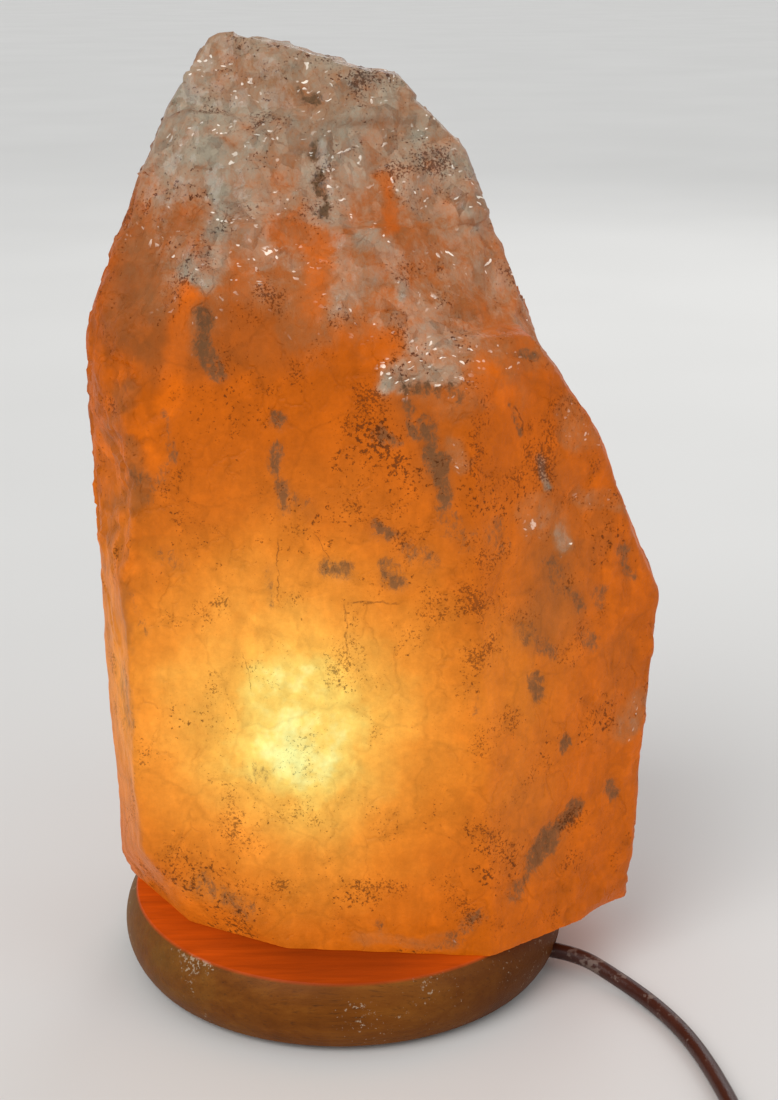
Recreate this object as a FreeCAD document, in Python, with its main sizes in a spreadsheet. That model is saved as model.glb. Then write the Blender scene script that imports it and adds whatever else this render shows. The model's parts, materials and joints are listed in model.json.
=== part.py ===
import FreeCAD, Part
import math
import os

import Sketcher
from FreeCAD import Placement, Rotation, Vector

# Salt crystal lamp. Origin on the floor under the middle of the wooden base, +Z up, the viewer
# on the -Y side. Lengths are millimetres and angles degrees.

# ---------------------------------------------------------------- driving dimensions
SIZES = {
    # turned wooden base
    "foot_height": 2.0, "foot_radius": 6.0, "foot_taper": 0.6, "foot_inset": 12.0,
    "base_thickness": 19.0, "base_widest_radius": 65.0, "base_rim_inset": 3.7,
    "base_lower_inset": 3.0, "base_widest_height": 12.0,
    "base_hole_radius": 21.0, "base_recess_radius": 29.0, "base_recess_depth": 2.6,
    "cord_exit_angle": -18.5, "groove_width": 6.6, "groove_top_height": 9.6,
    # screws that hold the crystal on the base
    "screw_circle_radius": 40.0, "screw_radius": 2.0, "screw_head_radius": 4.0,
    "screw_head_height": 2.4, "screw_length": 38.0, "screw_point_length": 5.0,
    "screw_point_radius": 0.4, "screw_sink_depth": 4.0, "screw_count": 3,
    # crystal
    "crystal_height": 242.6, "block_side": 400.0,
    "cavity_radius": 26.0, "cavity_depth": 104.0, "cavity_dome": 9.0,
    # lampholder
    "holder_low_height": 22.0, "holder_joint_height": 33.0, "holder_top_height": 58.0,
    "holder_radius": 13.5, "holder_wall": 1.6, "holder_rim_radius": 14.4, "holder_rim_height": 3.0,
    "holder_partition_low": 36.5, "holder_partition_high": 41.8, "contact_hole_radius": 3.4,
    "cap_radius": 13.9, "cap_floor": 2.0, "cap_spigot_height": 2.4,
    "cap_nozzle_height": 4.0, "cap_nozzle_radius": 4.4, "cap_nozzle_taper": 0.8,
    "shell_inner_radius": 6.15, "shell_wall": 0.45, "shell_low_height": 43.2,
    "shell_lip_width": 0.9, "contact_thickness": 0.5, "contact_width": 4.0,
    "contact_foot_length": 4.5, "contact_bend_inset": 1.0, "contact_bend_lean": 0.2,
    "contact_tongue_rise": 2.6, "contact_tip_start": 0.6, "contact_tip_end": 1.4, "contact_tip_drop": 0.6,
    # spring clips
    "clip_thickness": 0.8, "clip_width": 6.0, "clip_pivot_reach": 16.4, "clip_pivot_height": 31.0,
    "clip_pin_radius": 1.0, "clip_eye_wall": 0.8, "clip_belly_height": 14.0,
    "clip_belly_rise": 5.0, "clip_belly_fall": 3.5, "clip_belly_ease": 0.6,
    "clip_waist_depth": 2.4, "clip_waist_rise": 2.2, "clip_knee": 0.9, "clip_ear_length": 5.0,
    "lug_thickness": 2.0, "lug_height": 4.4, "lug_overhang": 1.8,
    # bulb
    "bulb_tip_height": 41.0, "bulb_tip_radius": 2.4, "bulb_tip_face_radius": 1.4,
    "bulb_tip_length": 1.0, "bulb_insulator_height": 2.2, "bulb_insulator_lip": 0.3,
    "bulb_cap_radius": 5.9, "bulb_cap_length": 13.0, "bulb_cap_wall": 0.4,
    "bulb_radius": 11.0, "bulb_length": 56.0, "bulb_glass_wall": 0.6,
    "bulb_neck_radius": 5.1, "bulb_neck_rise": 0.6, "bulb_seal_depth": 7.0,
    "bulb_shoulder_height": 67.0, "bulb_stem_radius": 2.2, "bulb_stem_height": 66.0,
    "bulb_stem_flare": 5.0, "bulb_pinch_height": 2.0,
    "bulb_support_wire_radius": 0.3, "bulb_support_wire_offset": 0.9,
    "filament_radius": 0.35, "filament_height": 78.0, "filament_span": 9.0, "filament_bow": 1.5,
    # mains cord
    "cord_diameter": 4.5, "cord_run_height": 6.0, "cord_bend_radius": 11.0,
    "cord_run_end_radius": 62.0, "cord_entry_length": 1.5,
    "cord_mouth_straight": 9.5, "cord_sleeve_straight": 12.5,
    "cord_approach_rise": 3.2, "cord_landing_rise": 1.0, "cord_touch_rise": 0.1,
    # coil of spare cord
    "coil_centre_x": -15.0, "coil_centre_y": -156.0, "coil_inner_radius": 18.5,
    "coil_pitch": 5.9, "coil_layer_rise": 5.1, "coil_half_turns_in": 7, "coil_half_turns_out": 6,
    "coil_exit_radius": 37.0, "coil_exit_straight": 10.7,
    # dimmer in the cord
    "dimmer_x": 26.9, "dimmer_y": -215.4, "dimmer_yaw": 184.0,
    "dimmer_length": 58.0, "dimmer_width": 27.0, "dimmer_height": 17.0, "dimmer_split_height": 8.0,
    "dimmer_corner_radius": 10.0, "dimmer_wall": 1.8, "dimmer_edge_round": 2.5,
    "wheel_radius": 12.0, "wheel_thickness": 5.0, "wheel_offset": 4.2, "wheel_height": 8.6,
    "wheel_edge": 0.5, "wheel_slot_gap": 0.6, "wheel_flute_radius": 0.7, "wheel_flute_count": 24,
    "control_radius": 7.0, "shaft_radius": 1.5,
    "board_thickness": 1.2, "board_margin": 1.0, "board_end_inset": 7.0, "board_screw_inset": 6.0,
    "board_pad_radius": 2.0, "board_rest_height": 1.2, "board_rest_width": 2.0, "board_rest_inset": 10.0,
    "relief_length": 20.0, "relief_root_radius": 4.2, "relief_tip_radius": 2.9,
    "relief_flange": 1.4, "relief_flange_rise": 1.0,
    "shell_screw_radius": 1.1, "shell_screw_head_radius": 2.0, "shell_screw_offset": 23.0,
    "shell_screw_boss_radius": 2.6, "shell_screw_sink_depth": 0.8, "shell_screw_recess": 0.3,
    "shell_screw_end_gap": 0.7,
    # plug
    "plug_x": 71.0, "plug_y": -165.5, "plug_yaw": -87.0, "plug_body_length": 27.0,
    "plug_width": 24.0, "plug_height": 13.0, "plug_nose": 3.0,
    "plug_relief_length": 21.0, "plug_relief_flare": 0.8, "blade_spacing": 12.7, "blade_thickness": 1.5,
    "blade_length": 17.0, "blade_live_width": 6.3, "blade_neutral_width": 7.9,
    "blade_hole_radius": 1.6, "blade_hole_setback": 5.0, "blade_root": 5.0,
    # clearances
    "slip_clearance": 0.3, "close_clearance": 0.1, "turning_clearance": 0.05, "pin_clearance": 0.02,
}

# Cleavage planes of the crystal's sides: name, azimuth and upward tilt of the outward normal, and
# distance of the plane from the origin.
SIDE_FACETS = (
    ("front", 264.0, 2.0, 45.7),
    ("left_front", 225.0, 4.2, 74.4),
    ("left", 197.0, -1.2, 63.4),
    ("left_heel", 213.0, -28.0, 36.0),
    ("front_heel", 241.0, -30.0, 29.0),
    ("left_rear", 151.0, 0.0, 56.7),
    ("rear_left", 127.0, 2.0, 60.0),
    ("rear", 92.0, 3.0, 52.0),
    ("rear_right", 48.0, 1.0, 74.0),
    ("right", 354.0, -3.7, 82.2),
    ("right_front", 305.0, 3.5, 64.8),
    ("right_flank", 358.0, 22.6, 125.8),
)

# Cleavage planes of its crown: the same, but the distance is from the point of the origin's axis at
# the crystal's full height. The last two numbers are how far below that height the plane starts and
# stops cutting, which leaves a ledge at each. A plane that ends at 0 cuts all the way down.
CROWN_FACETS = (
    ("right_brow", 8.0, 41.8, 5.0, 0.0, 0.0),
    ("right_upper", 5.0, 21.2, 20.7, 0.0, 77.6),
    ("right_shoulder", 3.0, 33.3, 0.6, 77.6, 0.0),
    ("left_shoulder", 183.4, 22.9, 33.23, 0.0, 0.0),
    ("brow", 276.0, 35.0, -8.4, 0.0, 0.0),
    ("brow_right", 288.0, 35.0, -7.7, 0.0, 0.0),
    ("brow_left", 240.0, 30.0, 11.7, 0.0, 0.0),
    ("brow_step", 286.0, 33.0, -10.2, 22.0, 47.0),
    ("brow_corner", 322.0, 32.0, 4.4, 0.0, 73.0),
    ("brow_corner_step", 305.0, 31.0, -4.0, 47.0, 73.0),
    ("crown_front", 262.0, 30.0, -4.8, 0.0, 20.1),
    ("crown_left", 180.0, 32.0, 27.5, 0.0, 0.0),
    ("crown_top", 0.0, 75.7, -7.23, 0.0, 0.0),
    ("rear_shoulder", 95.0, 45.0, 8.6, 0.0, 0.0),
    ("rear_step", 84.0, 40.0, 6.2, 24.0, 50.0),
)

# Shell-shaped chips broken out of the crystal: name, centre x, y, z and radius.
CHIPS = (
    ("right_notch", 66.0, -20.0, 196.0, 19.0),
    ("left_spall", -104.0, -48.0, 150.0, 52.0),
    ("brow_spall", 34.0, -84.0, 232.0, 66.0),
    ("lower_right_spall", 100.0, -52.0, 6.0, 42.0),
    ("rear_spall", 30.0, 96.0, 150.0, 55.0),
    ("rear_heel_spall", -62.0, 74.0, 24.0, 42.0),
    ("crown_spall", 6.0, 34.0, 276.0, 30.0),
    ("brow_hollow", -7.0, -44.9, 227.7, 26.0),
    ("left_brow_hollow", -30.8, -42.2, 238.9, 28.0),
    ("right_brow_hollow", 29.7, -20.9, 230.7, 18.0),
    ("right_lump_hollow", 47.0, -22.9, 207.3, 16.0),
    ("left_shoulder_hollow", -82.4, -9.5, 224.9, 30.0),
    ("right_flank_hollow", 84.4, -48.9, 142.0, 34.0),
    ("rear_shoulder_hollow", -9.0, 67.7, 223.4, 30.0),
    ("rear_right_hollow", 34.9, 74.6, 197.7, 34.0),
    ("rear_left_hollow", -35.2, 75.0, 177.7, 36.0),
    ("rear_low_hollow", 6.6, 89.3, 86.2, 44.0),
    ("right_rear_hollow", 114.1, 18.9, 143.0, 36.0),
)


# ---------------------------------------------------------------- sizes and the sheet
class Size:
    """A dimension: its value, and the sheet expression that it is bound to."""

    def __init__(self, value, text):
        self.value = float(value)
        self.text = text

    def __add__(self, other):
        other = as_size(other)
        return Size(self.value + other.value, f"({self.text} + {other.text})")

    def __sub__(self, other):
        other = as_size(other)
        return Size(self.value - other.value, f"({self.text} - {other.text})")

    def __mul__(self, other):
        other = as_size(other)
        return Size(self.value * other.value, f"({self.text} * {other.text})")

    def __truediv__(self, other):
        other = as_size(other)
        return Size(self.value / other.value, f"({self.text} / {other.text})")

    def __neg__(self):
        return Size(-self.value, f"(0 - {self.text})")


def as_size(number):
    """Plain numbers become sizes, so that they can be mixed with them."""
    return number if isinstance(number, Size) else Size(number, repr(float(number)))


doc = FreeCAD.newDocument("salt_crystal_lamp")
sheet = doc.addObject("Spreadsheet::Sheet", "Sizes")
for name, azimuth, tilt, reach, *drops in SIDE_FACETS + CROWN_FACETS:
    SIZES[f"facet_{name}_azimuth_angle"] = azimuth
    SIZES[f"facet_{name}_tilt_angle"] = tilt
    SIZES[f"facet_{name}_reach"] = reach
    if drops:
        SIZES[f"facet_{name}_start_drop"], SIZES[f"facet_{name}_end_drop"] = drops
for name, x, y, z, radius in CHIPS:
    SIZES[f"chip_{name}_centre_x"] = x
    SIZES[f"chip_{name}_centre_y"] = y
    SIZES[f"chip_{name}_centre_z"] = z
    SIZES[f"chip_{name}_radius"] = radius
for row, (alias, number) in enumerate(SIZES.items(), start=1):
    sheet.set(f"A{row}", alias.replace("_", " "))
    sheet.set(f"B{row}", str(number))
    sheet.setAlias(f"B{row}", alias)
doc.recompute()


def size(alias):
    """The named size, read from the sheet."""
    return Size(getattr(sheet, alias), f"Sizes.{alias}")


def mm(alias):
    """The named size as a plain number."""
    return float(getattr(sheet, alias))


AXIS_TURNS = {
    "x": Rotation(Vector(0, 1, 0), 90),
    "y": Rotation(Vector(1, 0, 0), -90),
    "z": Rotation(),
}
nodes = []


def node(thing, label):
    """Names a finished piece and lists it for export."""
    thing.Label = label
    nodes.append(thing)
    return thing


def place(thing, frame):
    """Puts a piece at a frame: x, y, z and the yaw about +Z."""
    for key, value in zip(("Base.x", "Base.y", "Base.z", "Rotation.Angle"), frame):
        thing.setExpression(f"Placement.{key}", as_size(value).text)
    return thing


def origin_plane(body, role):
    """The body's own origin plane of that role."""
    return next(feature for feature in body.Origin.OriginFeatures if feature.Role == role)


def new_sketch(body, role, name, offset=0.0):
    """A sketch on one of the body's origin planes, moved along the plane's normal."""
    sketch = body.newObject("Sketcher::SketchObject", name)
    sketch.AttachmentSupport = [(origin_plane(body, role), "")]
    sketch.MapMode = "FlatFace"
    sketch.setExpression("AttachmentOffset.Base.z", as_size(offset).text)
    return sketch


def fix_point(sketch, edge, end, corner):
    """Ties an end of an edge to the corner's two sizes."""
    for axis, constraint, coordinate in ((-2, "DistanceX", corner[0]), (-1, "DistanceY", corner[1])):
        coordinate = as_size(coordinate)
        if coordinate.text == "0.0":
            sketch.addConstraint(Sketcher.Constraint("PointOnObject", edge, end, axis))
            continue
        index = sketch.addConstraint(
            Sketcher.Constraint(constraint, -1, 1, edge, end, coordinate.value))
        sketch.setExpression(f"Constraints[{index}]", coordinate.text)


def draw(sketch, outline):
    """Draws a closed outline. Corners are (x, y); a third entry (x, y) in a corner is a point
    that the arc to the next corner goes through."""
    points = [Vector(as_size(c[0]).value, as_size(c[1]).value, 0) for c in outline]
    ends = []
    for i, corner in enumerate(outline):
        start, finish = points[i], points[(i + 1) % len(points)]
        if len(corner) == 2:
            edge = sketch.addGeometry(Part.LineSegment(start, finish))
            ends.append((edge, 1, 2))
        else:
            through = Vector(as_size(corner[2][0]).value, as_size(corner[2][1]).value, 0)
            edge = sketch.addGeometry(Part.Arc(start, through, finish))
            forward = sketch.getPoint(edge, 1).distanceToPoint(start) < 1e-6
            ends.append((edge, 1, 2) if forward else (edge, 2, 1))
            mark = sketch.addGeometry(Part.Point(through), True)
            fix_point(sketch, mark, 1, corner[2])
            sketch.addConstraint(Sketcher.Constraint("PointOnObject", mark, 1, edge))
    for i, corner in enumerate(outline):
        edge, start, finish = ends[i]
        before, _, before_finish = ends[i - 1]
        sketch.addConstraint(Sketcher.Constraint("Coincident", before, before_finish, edge, start))
        fix_point(sketch, edge, start, corner)


def new_body(name):
    """An empty body."""
    return doc.addObject("PartDesign::Body", name)


def turned(name, outline):
    """A body turned about Z from an outline of (radius, height) corners."""
    body = new_body(name)
    sketch = new_sketch(body, "XZ_Plane", name + "_section")
    draw(sketch, outline)
    turn = body.newObject("PartDesign::Revolution", name + "_turn")
    turn.Profile = sketch
    turn.ReferenceAxis = (sketch, ["V_Axis"])
    turn.Angle = 360.0
    body.Tip = turn
    return body


def pad(body, name, outline, low, high):
    """Raises an (x, y) outline from one height to another."""
    sketch = new_sketch(body, "XY_Plane", name + "_outline", low)
    draw(sketch, outline)
    raised = body.newObject("PartDesign::Pad", name + "_pad")
    raised.Profile = sketch
    raised.setExpression("Length", (as_size(high) - low).text)
    body.Tip = raised
    return raised


def pocket(body, name, outline, low, high):
    """Cuts an (x, y) outline from the higher height down to the lower one."""
    sketch = new_sketch(body, "XY_Plane", name + "_outline", high)
    draw(sketch, outline)
    cut_out = body.newObject("PartDesign::Pocket", name + "_pocket")
    cut_out.Profile = sketch
    cut_out.setExpression("Length", (as_size(high) - low).text)
    body.Tip = cut_out
    return cut_out


def block(name, low, high):
    """A box between two corners."""
    thing = doc.addObject("Part::Box", name)
    for key, start, finish in zip(("Length", "Width", "Height"), low, high):
        thing.setExpression(key, (as_size(finish) - start).text)
    return place(thing, low)


def rod(name, radius, start, length, axis="z"):
    """A cylinder from its start along an axis."""
    thing = doc.addObject("Part::Cylinder", name)
    thing.setExpression("Radius", as_size(radius).text)
    thing.setExpression("Height", as_size(length).text)
    thing.Placement = Placement(Vector(), AXIS_TURNS[axis])
    return place(thing, start)


def cone(name, low_radius, high_radius, start, length, axis="z"):
    """A cone from its start along an axis."""
    thing = doc.addObject("Part::Cone", name)
    thing.setExpression("Radius1", as_size(low_radius).text)
    thing.setExpression("Radius2", as_size(high_radius).text)
    thing.setExpression("Height", as_size(length).text)
    thing.Placement = Placement(Vector(), AXIS_TURNS[axis])
    return place(thing, start)


def fuse(name, pieces):
    """Several shapes as one."""
    thing = doc.addObject("Part::MultiFuse", name)
    thing.Shapes = pieces
    return thing


def cut(name, base, tools):
    """A shape with others cut out of it."""
    thing = doc.addObject("Part::Cut", name)
    thing.Base = base
    thing.Tool = tools[0] if len(tools) == 1 else fuse(name + "_tools", tools)
    return thing


def feature(name, shape):
    """A piece whose shape is worked out here from the sheet's sizes."""
    thing = doc.addObject("Part::Feature", name)
    thing.Shape = shape
    return thing


# ---------------------------------------------------------------- shared heights and radii
PAST = 1.0  # how far a cut runs past the face that it opens
foot_height = size("foot_height")
base_top = foot_height + size("base_thickness")
recess_top = foot_height + size("base_recess_depth")
groove_top = size("groove_top_height")
hole_radius = size("base_hole_radius")
cord_radius = size("cord_diameter") / 2
slip = size("slip_clearance")
close = size("close_clearance")
turning = size("turning_clearance")
exit_frame = (0, 0, 0, size("cord_exit_angle"))


# ---------------------------------------------------------------- wooden base and its feet
def wooden_base():
    """A turned disc with a hole for the lampholder, a recess round it for the clips' ears, a groove
    for the cord and countersunk holes for the crystal's screws."""
    disc = turned("base_disc", [
        (hole_radius, recess_top),
        (size("base_recess_radius"), recess_top),
        (size("base_recess_radius"), foot_height),
        (size("base_widest_radius") - size("base_lower_inset"), foot_height,
         (size("base_widest_radius"), size("base_widest_height"))),
        (size("base_widest_radius") - size("base_rim_inset"), base_top),
        (hole_radius, base_top),
    ])
    half_groove = size("groove_width") / 2
    groove = block("cord_groove", (0, -half_groove, 0),
                   (size("base_widest_radius") + PAST, half_groove, groove_top))
    head_low = foot_height + size("screw_sink_depth")
    shaft_holes = []
    for i in range(int(mm("screw_count"))):
        angle = math.radians(360 * (i + 0.5) / mm("screw_count"))
        x = size("screw_circle_radius") * math.cos(angle)
        y = size("screw_circle_radius") * math.sin(angle)
        shaft_holes.append(rod(f"screw_hole_{i}", size("screw_radius") + slip, (x, y, 0), base_top + PAST))
        shaft_holes.append(rod(f"screw_sink_{i}", size("screw_head_radius") + slip, (x, y, 0), head_low))
        shaft_holes.append(cone(f"screw_countersink_{i}", size("screw_head_radius") + close,
                                size("screw_radius") + close, (x, y, head_low), size("screw_head_height")))
    wood = cut("base_cut", disc, [groove] + shaft_holes)
    node(place(wood, exit_frame), "wooden_base")


def feet():
    """Four rubber feet under the base, between the groove and the screws."""
    names = ("foot_rear_right", "foot_rear_left", "foot_front_left", "foot_front_right")
    reach = size("base_widest_radius") - size("base_lower_inset") - size("foot_inset")
    for i, label in enumerate(names):
        foot = turned(label, [
            (0, 0),
            (size("foot_radius") - size("foot_taper"), 0),
            (size("foot_radius"), foot_height),
            (0, foot_height),
        ])
        angle = size("cord_exit_angle") + 45 + 90 * i
        foot.setExpression("Placement.Base.x", f"{reach.text} * cos({angle.text})")
        foot.setExpression("Placement.Base.y", f"{reach.text} * sin({angle.text})")
        node(foot, label)


# ---------------------------------------------------------------- crystal and its screws
def screw_places():
    """Where the crystal's screws stand, with the underside of their heads."""
    places = []
    for i in range(int(mm("screw_count"))):
        angle = math.radians(mm("cord_exit_angle") + 360 * (i + 0.5) / mm("screw_count"))
        reach = mm("screw_circle_radius")
        places.append(Vector(reach * math.cos(angle), reach * math.sin(angle),
                             mm("foot_height") + mm("screw_sink_depth")))
    return places


def salt_crystal():
    """A block cleaved along the facet planes, chipped, then bored for the bulb and the screws."""
    low = base_top.value
    top = low + mm("crystal_height")
    side = mm("block_side")
    stone = Part.makeBox(side, side, side, Vector(-side / 2, -side / 2, low))
    for name, _, _, _, *crown in SIDE_FACETS + CROWN_FACETS:
        azimuth = math.radians(mm(f"facet_{name}_azimuth_angle"))
        tilt = math.radians(mm(f"facet_{name}_tilt_angle"))
        across = math.cos(tilt)
        normal = Vector(across * math.cos(azimuth), across * math.sin(azimuth), math.sin(tilt))
        start = Vector(0, 0, top if crown else 0)
        waste = Part.makeBox(2 * side, 2 * side, 2 * side, Vector(-side, -side, 0))
        plane = start + normal * mm(f"facet_{name}_reach")
        waste.Placement = Placement(plane, Rotation(Vector(0, 0, 1), normal))
        if crown:
            start, end = mm(f"facet_{name}_start_drop"), mm(f"facet_{name}_end_drop")
            high = top - start if start else 2 * side
            ledge = top - end if end else low - PAST
            waste = waste.common(Part.makeBox(2 * side, 2 * side, high - ledge, Vector(-side, -side, ledge)))
        stone = stone.cut(waste)
    for name, _, _, _, _ in CHIPS:
        centre = Vector(*(mm(f"chip_{name}_centre_{axis}") for axis in "xyz"))
        stone = stone.cut(Part.makeSphere(mm(f"chip_{name}_radius"), centre))
    radius, depth, dome = mm("cavity_radius"), mm("cavity_depth"), mm("cavity_dome")
    section = Part.makePolygon([
        Vector(0, 0, low - PAST), Vector(radius, 0, low - PAST), Vector(radius, 0, low + depth - dome),
        Vector(radius - dome, 0, low + depth), Vector(0, 0, low + depth), Vector(0, 0, low - PAST),
    ])
    stone = stone.cut(Part.Face(section).revolve(Vector(), Vector(0, 0, 1), 360))
    for spot in screw_places():
        bore = mm("screw_radius") + mm("close_clearance")
        stone = stone.cut(Part.makeCylinder(bore, mm("screw_length") + slip.value, spot))
    node(feature("crystal", stone.removeSplitter()), "salt_crystal")


def base_screws():
    """Countersunk wood screws, point up, in one group."""
    head, shank = mm("screw_head_radius"), mm("screw_radius")
    head_height, length, point = mm("screw_head_height"), mm("screw_length"), mm("screw_point_length")
    screws = []
    for spot in screw_places():
        taper = Part.makeCone(head, shank, head_height, spot)
        shaft = Part.makeCylinder(shank, length - head_height - point, spot + Vector(0, 0, head_height))
        tip = Part.makeCone(shank, mm("screw_point_radius"), point, spot + Vector(0, 0, length - point))
        screws.append(taper.fuse([shaft, tip]).removeSplitter())
    node(feature("base_screw_group", Part.makeCompound(screws)), "base_screws")


# ---------------------------------------------------------------- lampholder
def lampholder_body():
    """The barrel, with a rim, a partition for the centre contact and a seat for the thread shell."""
    wall = size("holder_wall")
    shell_seat = size("shell_inner_radius") + size("shell_wall") + close
    lip_seat = shell_seat + size("shell_lip_width")
    barrel = turned("holder_barrel", [
        (size("holder_radius") - wall, size("holder_joint_height")),
        (size("holder_radius"), size("holder_joint_height")),
        (size("holder_radius"), size("holder_top_height") - size("holder_rim_height")),
        (size("holder_rim_radius"), size("holder_top_height") - size("holder_rim_height")),
        (size("holder_rim_radius"), size("holder_top_height")),
        (lip_seat, size("holder_top_height")),
        (lip_seat, size("holder_top_height") - size("shell_lip_width")),
        (shell_seat, size("holder_top_height") - size("shell_lip_width")),
        (shell_seat, size("holder_partition_high")),
        (size("contact_hole_radius"), size("holder_partition_high")),
        (size("contact_hole_radius"), size("holder_partition_low")),
        (size("holder_radius") - wall, size("holder_partition_low")),
    ])
    node(barrel, "lampholder_body")


def lampholder_cap():
    """The lower cap, with the cord's nozzle, a spigot into the barrel and a pair of lugs on each
    side that carry the clips."""
    wall = size("holder_wall")
    low = size("holder_low_height")
    joint = size("holder_joint_height")
    spigot = size("holder_radius") - wall - close
    nozzle_bore = cord_radius + close
    shell = turned("cap_shell", [
        (nozzle_bore, low - size("cap_nozzle_height")),
        (size("cap_nozzle_radius") - size("cap_nozzle_taper"), low - size("cap_nozzle_height")),
        (size("cap_nozzle_radius"), low),
        (size("cap_radius"), low),
        (size("cap_radius"), joint),
        (spigot, joint),
        (spigot, joint + size("cap_spigot_height")),
        (spigot - wall, joint + size("cap_spigot_height")),
        (spigot - wall, low + size("cap_floor")),
        (nozzle_bore, low + size("cap_floor")),
    ])
    inner = size("clip_width") / 2 + slip
    outer = inner + size("lug_thickness")
    reach = size("clip_pivot_reach")
    height = size("clip_pivot_height")
    half = size("lug_height") / 2
    root = size("cap_radius") - wall
    tip = reach + size("lug_overhang")
    lugs = []
    for side in (-1, 1):
        for hand in (-1, 1):
            x_low, x_high = (inner, outer) if hand > 0 else (-outer, -inner)
            y_low, y_high = (root, tip) if side > 0 else (-tip, -root)
            lugs.append(block(f"cap_lug_{side}_{hand}",
                              (x_low, y_low, height - half), (x_high, y_high, height + half)))
    bores = []
    for side in (-1, 1):
        bores.append(rod(f"pin_bore_{side}", size("clip_pin_radius") + size("pin_clearance"),
                         (-outer - PAST, reach * side, height), (outer + PAST) * 2, "x"))
    body = cut("cap_cut", fuse("cap_with_lugs", [shell] + lugs), bores)
    node(place(body, exit_frame), "lampholder_cap")


def thread_shell():
    """The brass screw shell that the bulb turns into, with its rolled lip."""
    inner = size("shell_inner_radius")
    outer = inner + size("shell_wall")
    lip = size("shell_lip_width")
    top = size("holder_top_height")
    node(turned("brass_shell", [
        (inner, size("shell_low_height")),
        (outer, size("shell_low_height")),
        (outer, top - lip),
        (outer + lip, top - lip),
        (outer + lip, top - lip / 2),
        (inner, top - lip / 2),
    ]), "lampholder_thread_shell")


def band(points, thickness):
    """The closed outline of a bent strip, from the points of its middle line in the YZ plane."""
    left, right = [], []
    for i, point in enumerate(points):
        before = points[max(i - 1, 0)]
        after = points[min(i + 1, len(points) - 1)]
        into = (point - before).normalize() if i else (after - point).normalize()
        out = (after - point).normalize() if i < len(points) - 1 else into
        middle = (into + out).normalize()
        across = Vector(0, -middle.z, middle.y)
        width = thickness / 2 / max(middle.dot(into), 0.3)
        left.append(point + across * width)
        right.append(point - across * width)
    return Part.Face(Part.makePolygon(left + right[::-1] + left[:1]))


def centre_contact():
    """A bent brass tongue in the floor of the holder, sprung up towards the bulb's tip."""
    thickness = mm("contact_thickness")
    floor = mm("holder_partition_low")
    bend = mm("contact_hole_radius") - mm("contact_bend_inset")
    tongue = mm("bulb_tip_height") - mm("slip_clearance") - thickness / 2
    edge = -mm("contact_width") / 2
    path = [
        Vector(edge, bend + mm("contact_foot_length"), floor - thickness / 2),
        Vector(edge, bend, floor - thickness / 2),
        Vector(edge, bend - mm("contact_bend_lean"), tongue - mm("contact_tongue_rise")),
        Vector(edge, mm("contact_tip_start"), tongue),
        Vector(edge, -mm("contact_tip_end"), tongue - mm("contact_tip_drop")),
    ]
    shape = band(path, thickness).extrude(Vector(mm("contact_width"), 0, 0))
    node(place(feature("contact_strip", shape), exit_frame), "lampholder_centre_contact")


def clips():
    """Two sprung steel clips. Each turns on its pin, bows out to the wall of the base's hole and
    ends in an ear under the wood."""
    thickness = mm("clip_thickness")
    reach, height = mm("clip_pivot_reach"), mm("clip_pivot_height")
    bore = mm("clip_pin_radius") + turning.value
    eye = bore + mm("clip_eye_wall")
    belly = mm("base_hole_radius") - mm("slip_clearance") - thickness / 2
    ear = recess_top.value - mm("slip_clearance") - thickness / 2
    waist = mm("base_hole_radius") - mm("clip_waist_depth")
    shoulder = belly - mm("clip_belly_ease")
    middle = mm("clip_belly_height")
    edge = -mm("clip_width") / 2
    path = [
        Vector(edge, reach + eye - thickness / 2, height),
        Vector(edge, shoulder, middle + mm("clip_belly_rise")),
        Vector(edge, belly, middle),
        Vector(edge, shoulder, middle - mm("clip_belly_fall")),
        Vector(edge, waist, ear + mm("clip_waist_rise")),
        Vector(edge, waist + mm("clip_knee"), ear),
        Vector(edge, mm("base_hole_radius") + mm("clip_ear_length"), ear),
    ]
    strip = band(path, thickness).extrude(Vector(mm("clip_width"), 0, 0))
    pivot = Vector(edge, reach, height)
    ring = Part.makeCylinder(eye, mm("clip_width"), pivot, Vector(1, 0, 0))
    hole = Part.makeCylinder(bore, mm("clip_width"), pivot, Vector(1, 0, 0))
    shape = strip.fuse(ring).cut(hole).removeSplitter()
    for label, turn in (("clip_rear", 0), ("clip_front", 180)):
        clip = feature(label + "_strip", shape)
        node(place(clip, (0, 0, 0, size("cord_exit_angle") + turn)), label)


def clip_pins():
    """The two pins that the clips turn on, in one group."""
    half = size("clip_width") / 2 + slip + size("lug_thickness")
    pins = [rod(f"clip_pin_{side}", size("clip_pin_radius"),
                (-half, size("clip_pivot_reach") * side, size("clip_pivot_height")), half * 2, "x")
            for side in (-1, 1)]
    group = doc.addObject("Part::Compound", "clip_pin_group")
    group.Links = pins
    node(place(group, exit_frame), "clip_pins")


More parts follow.
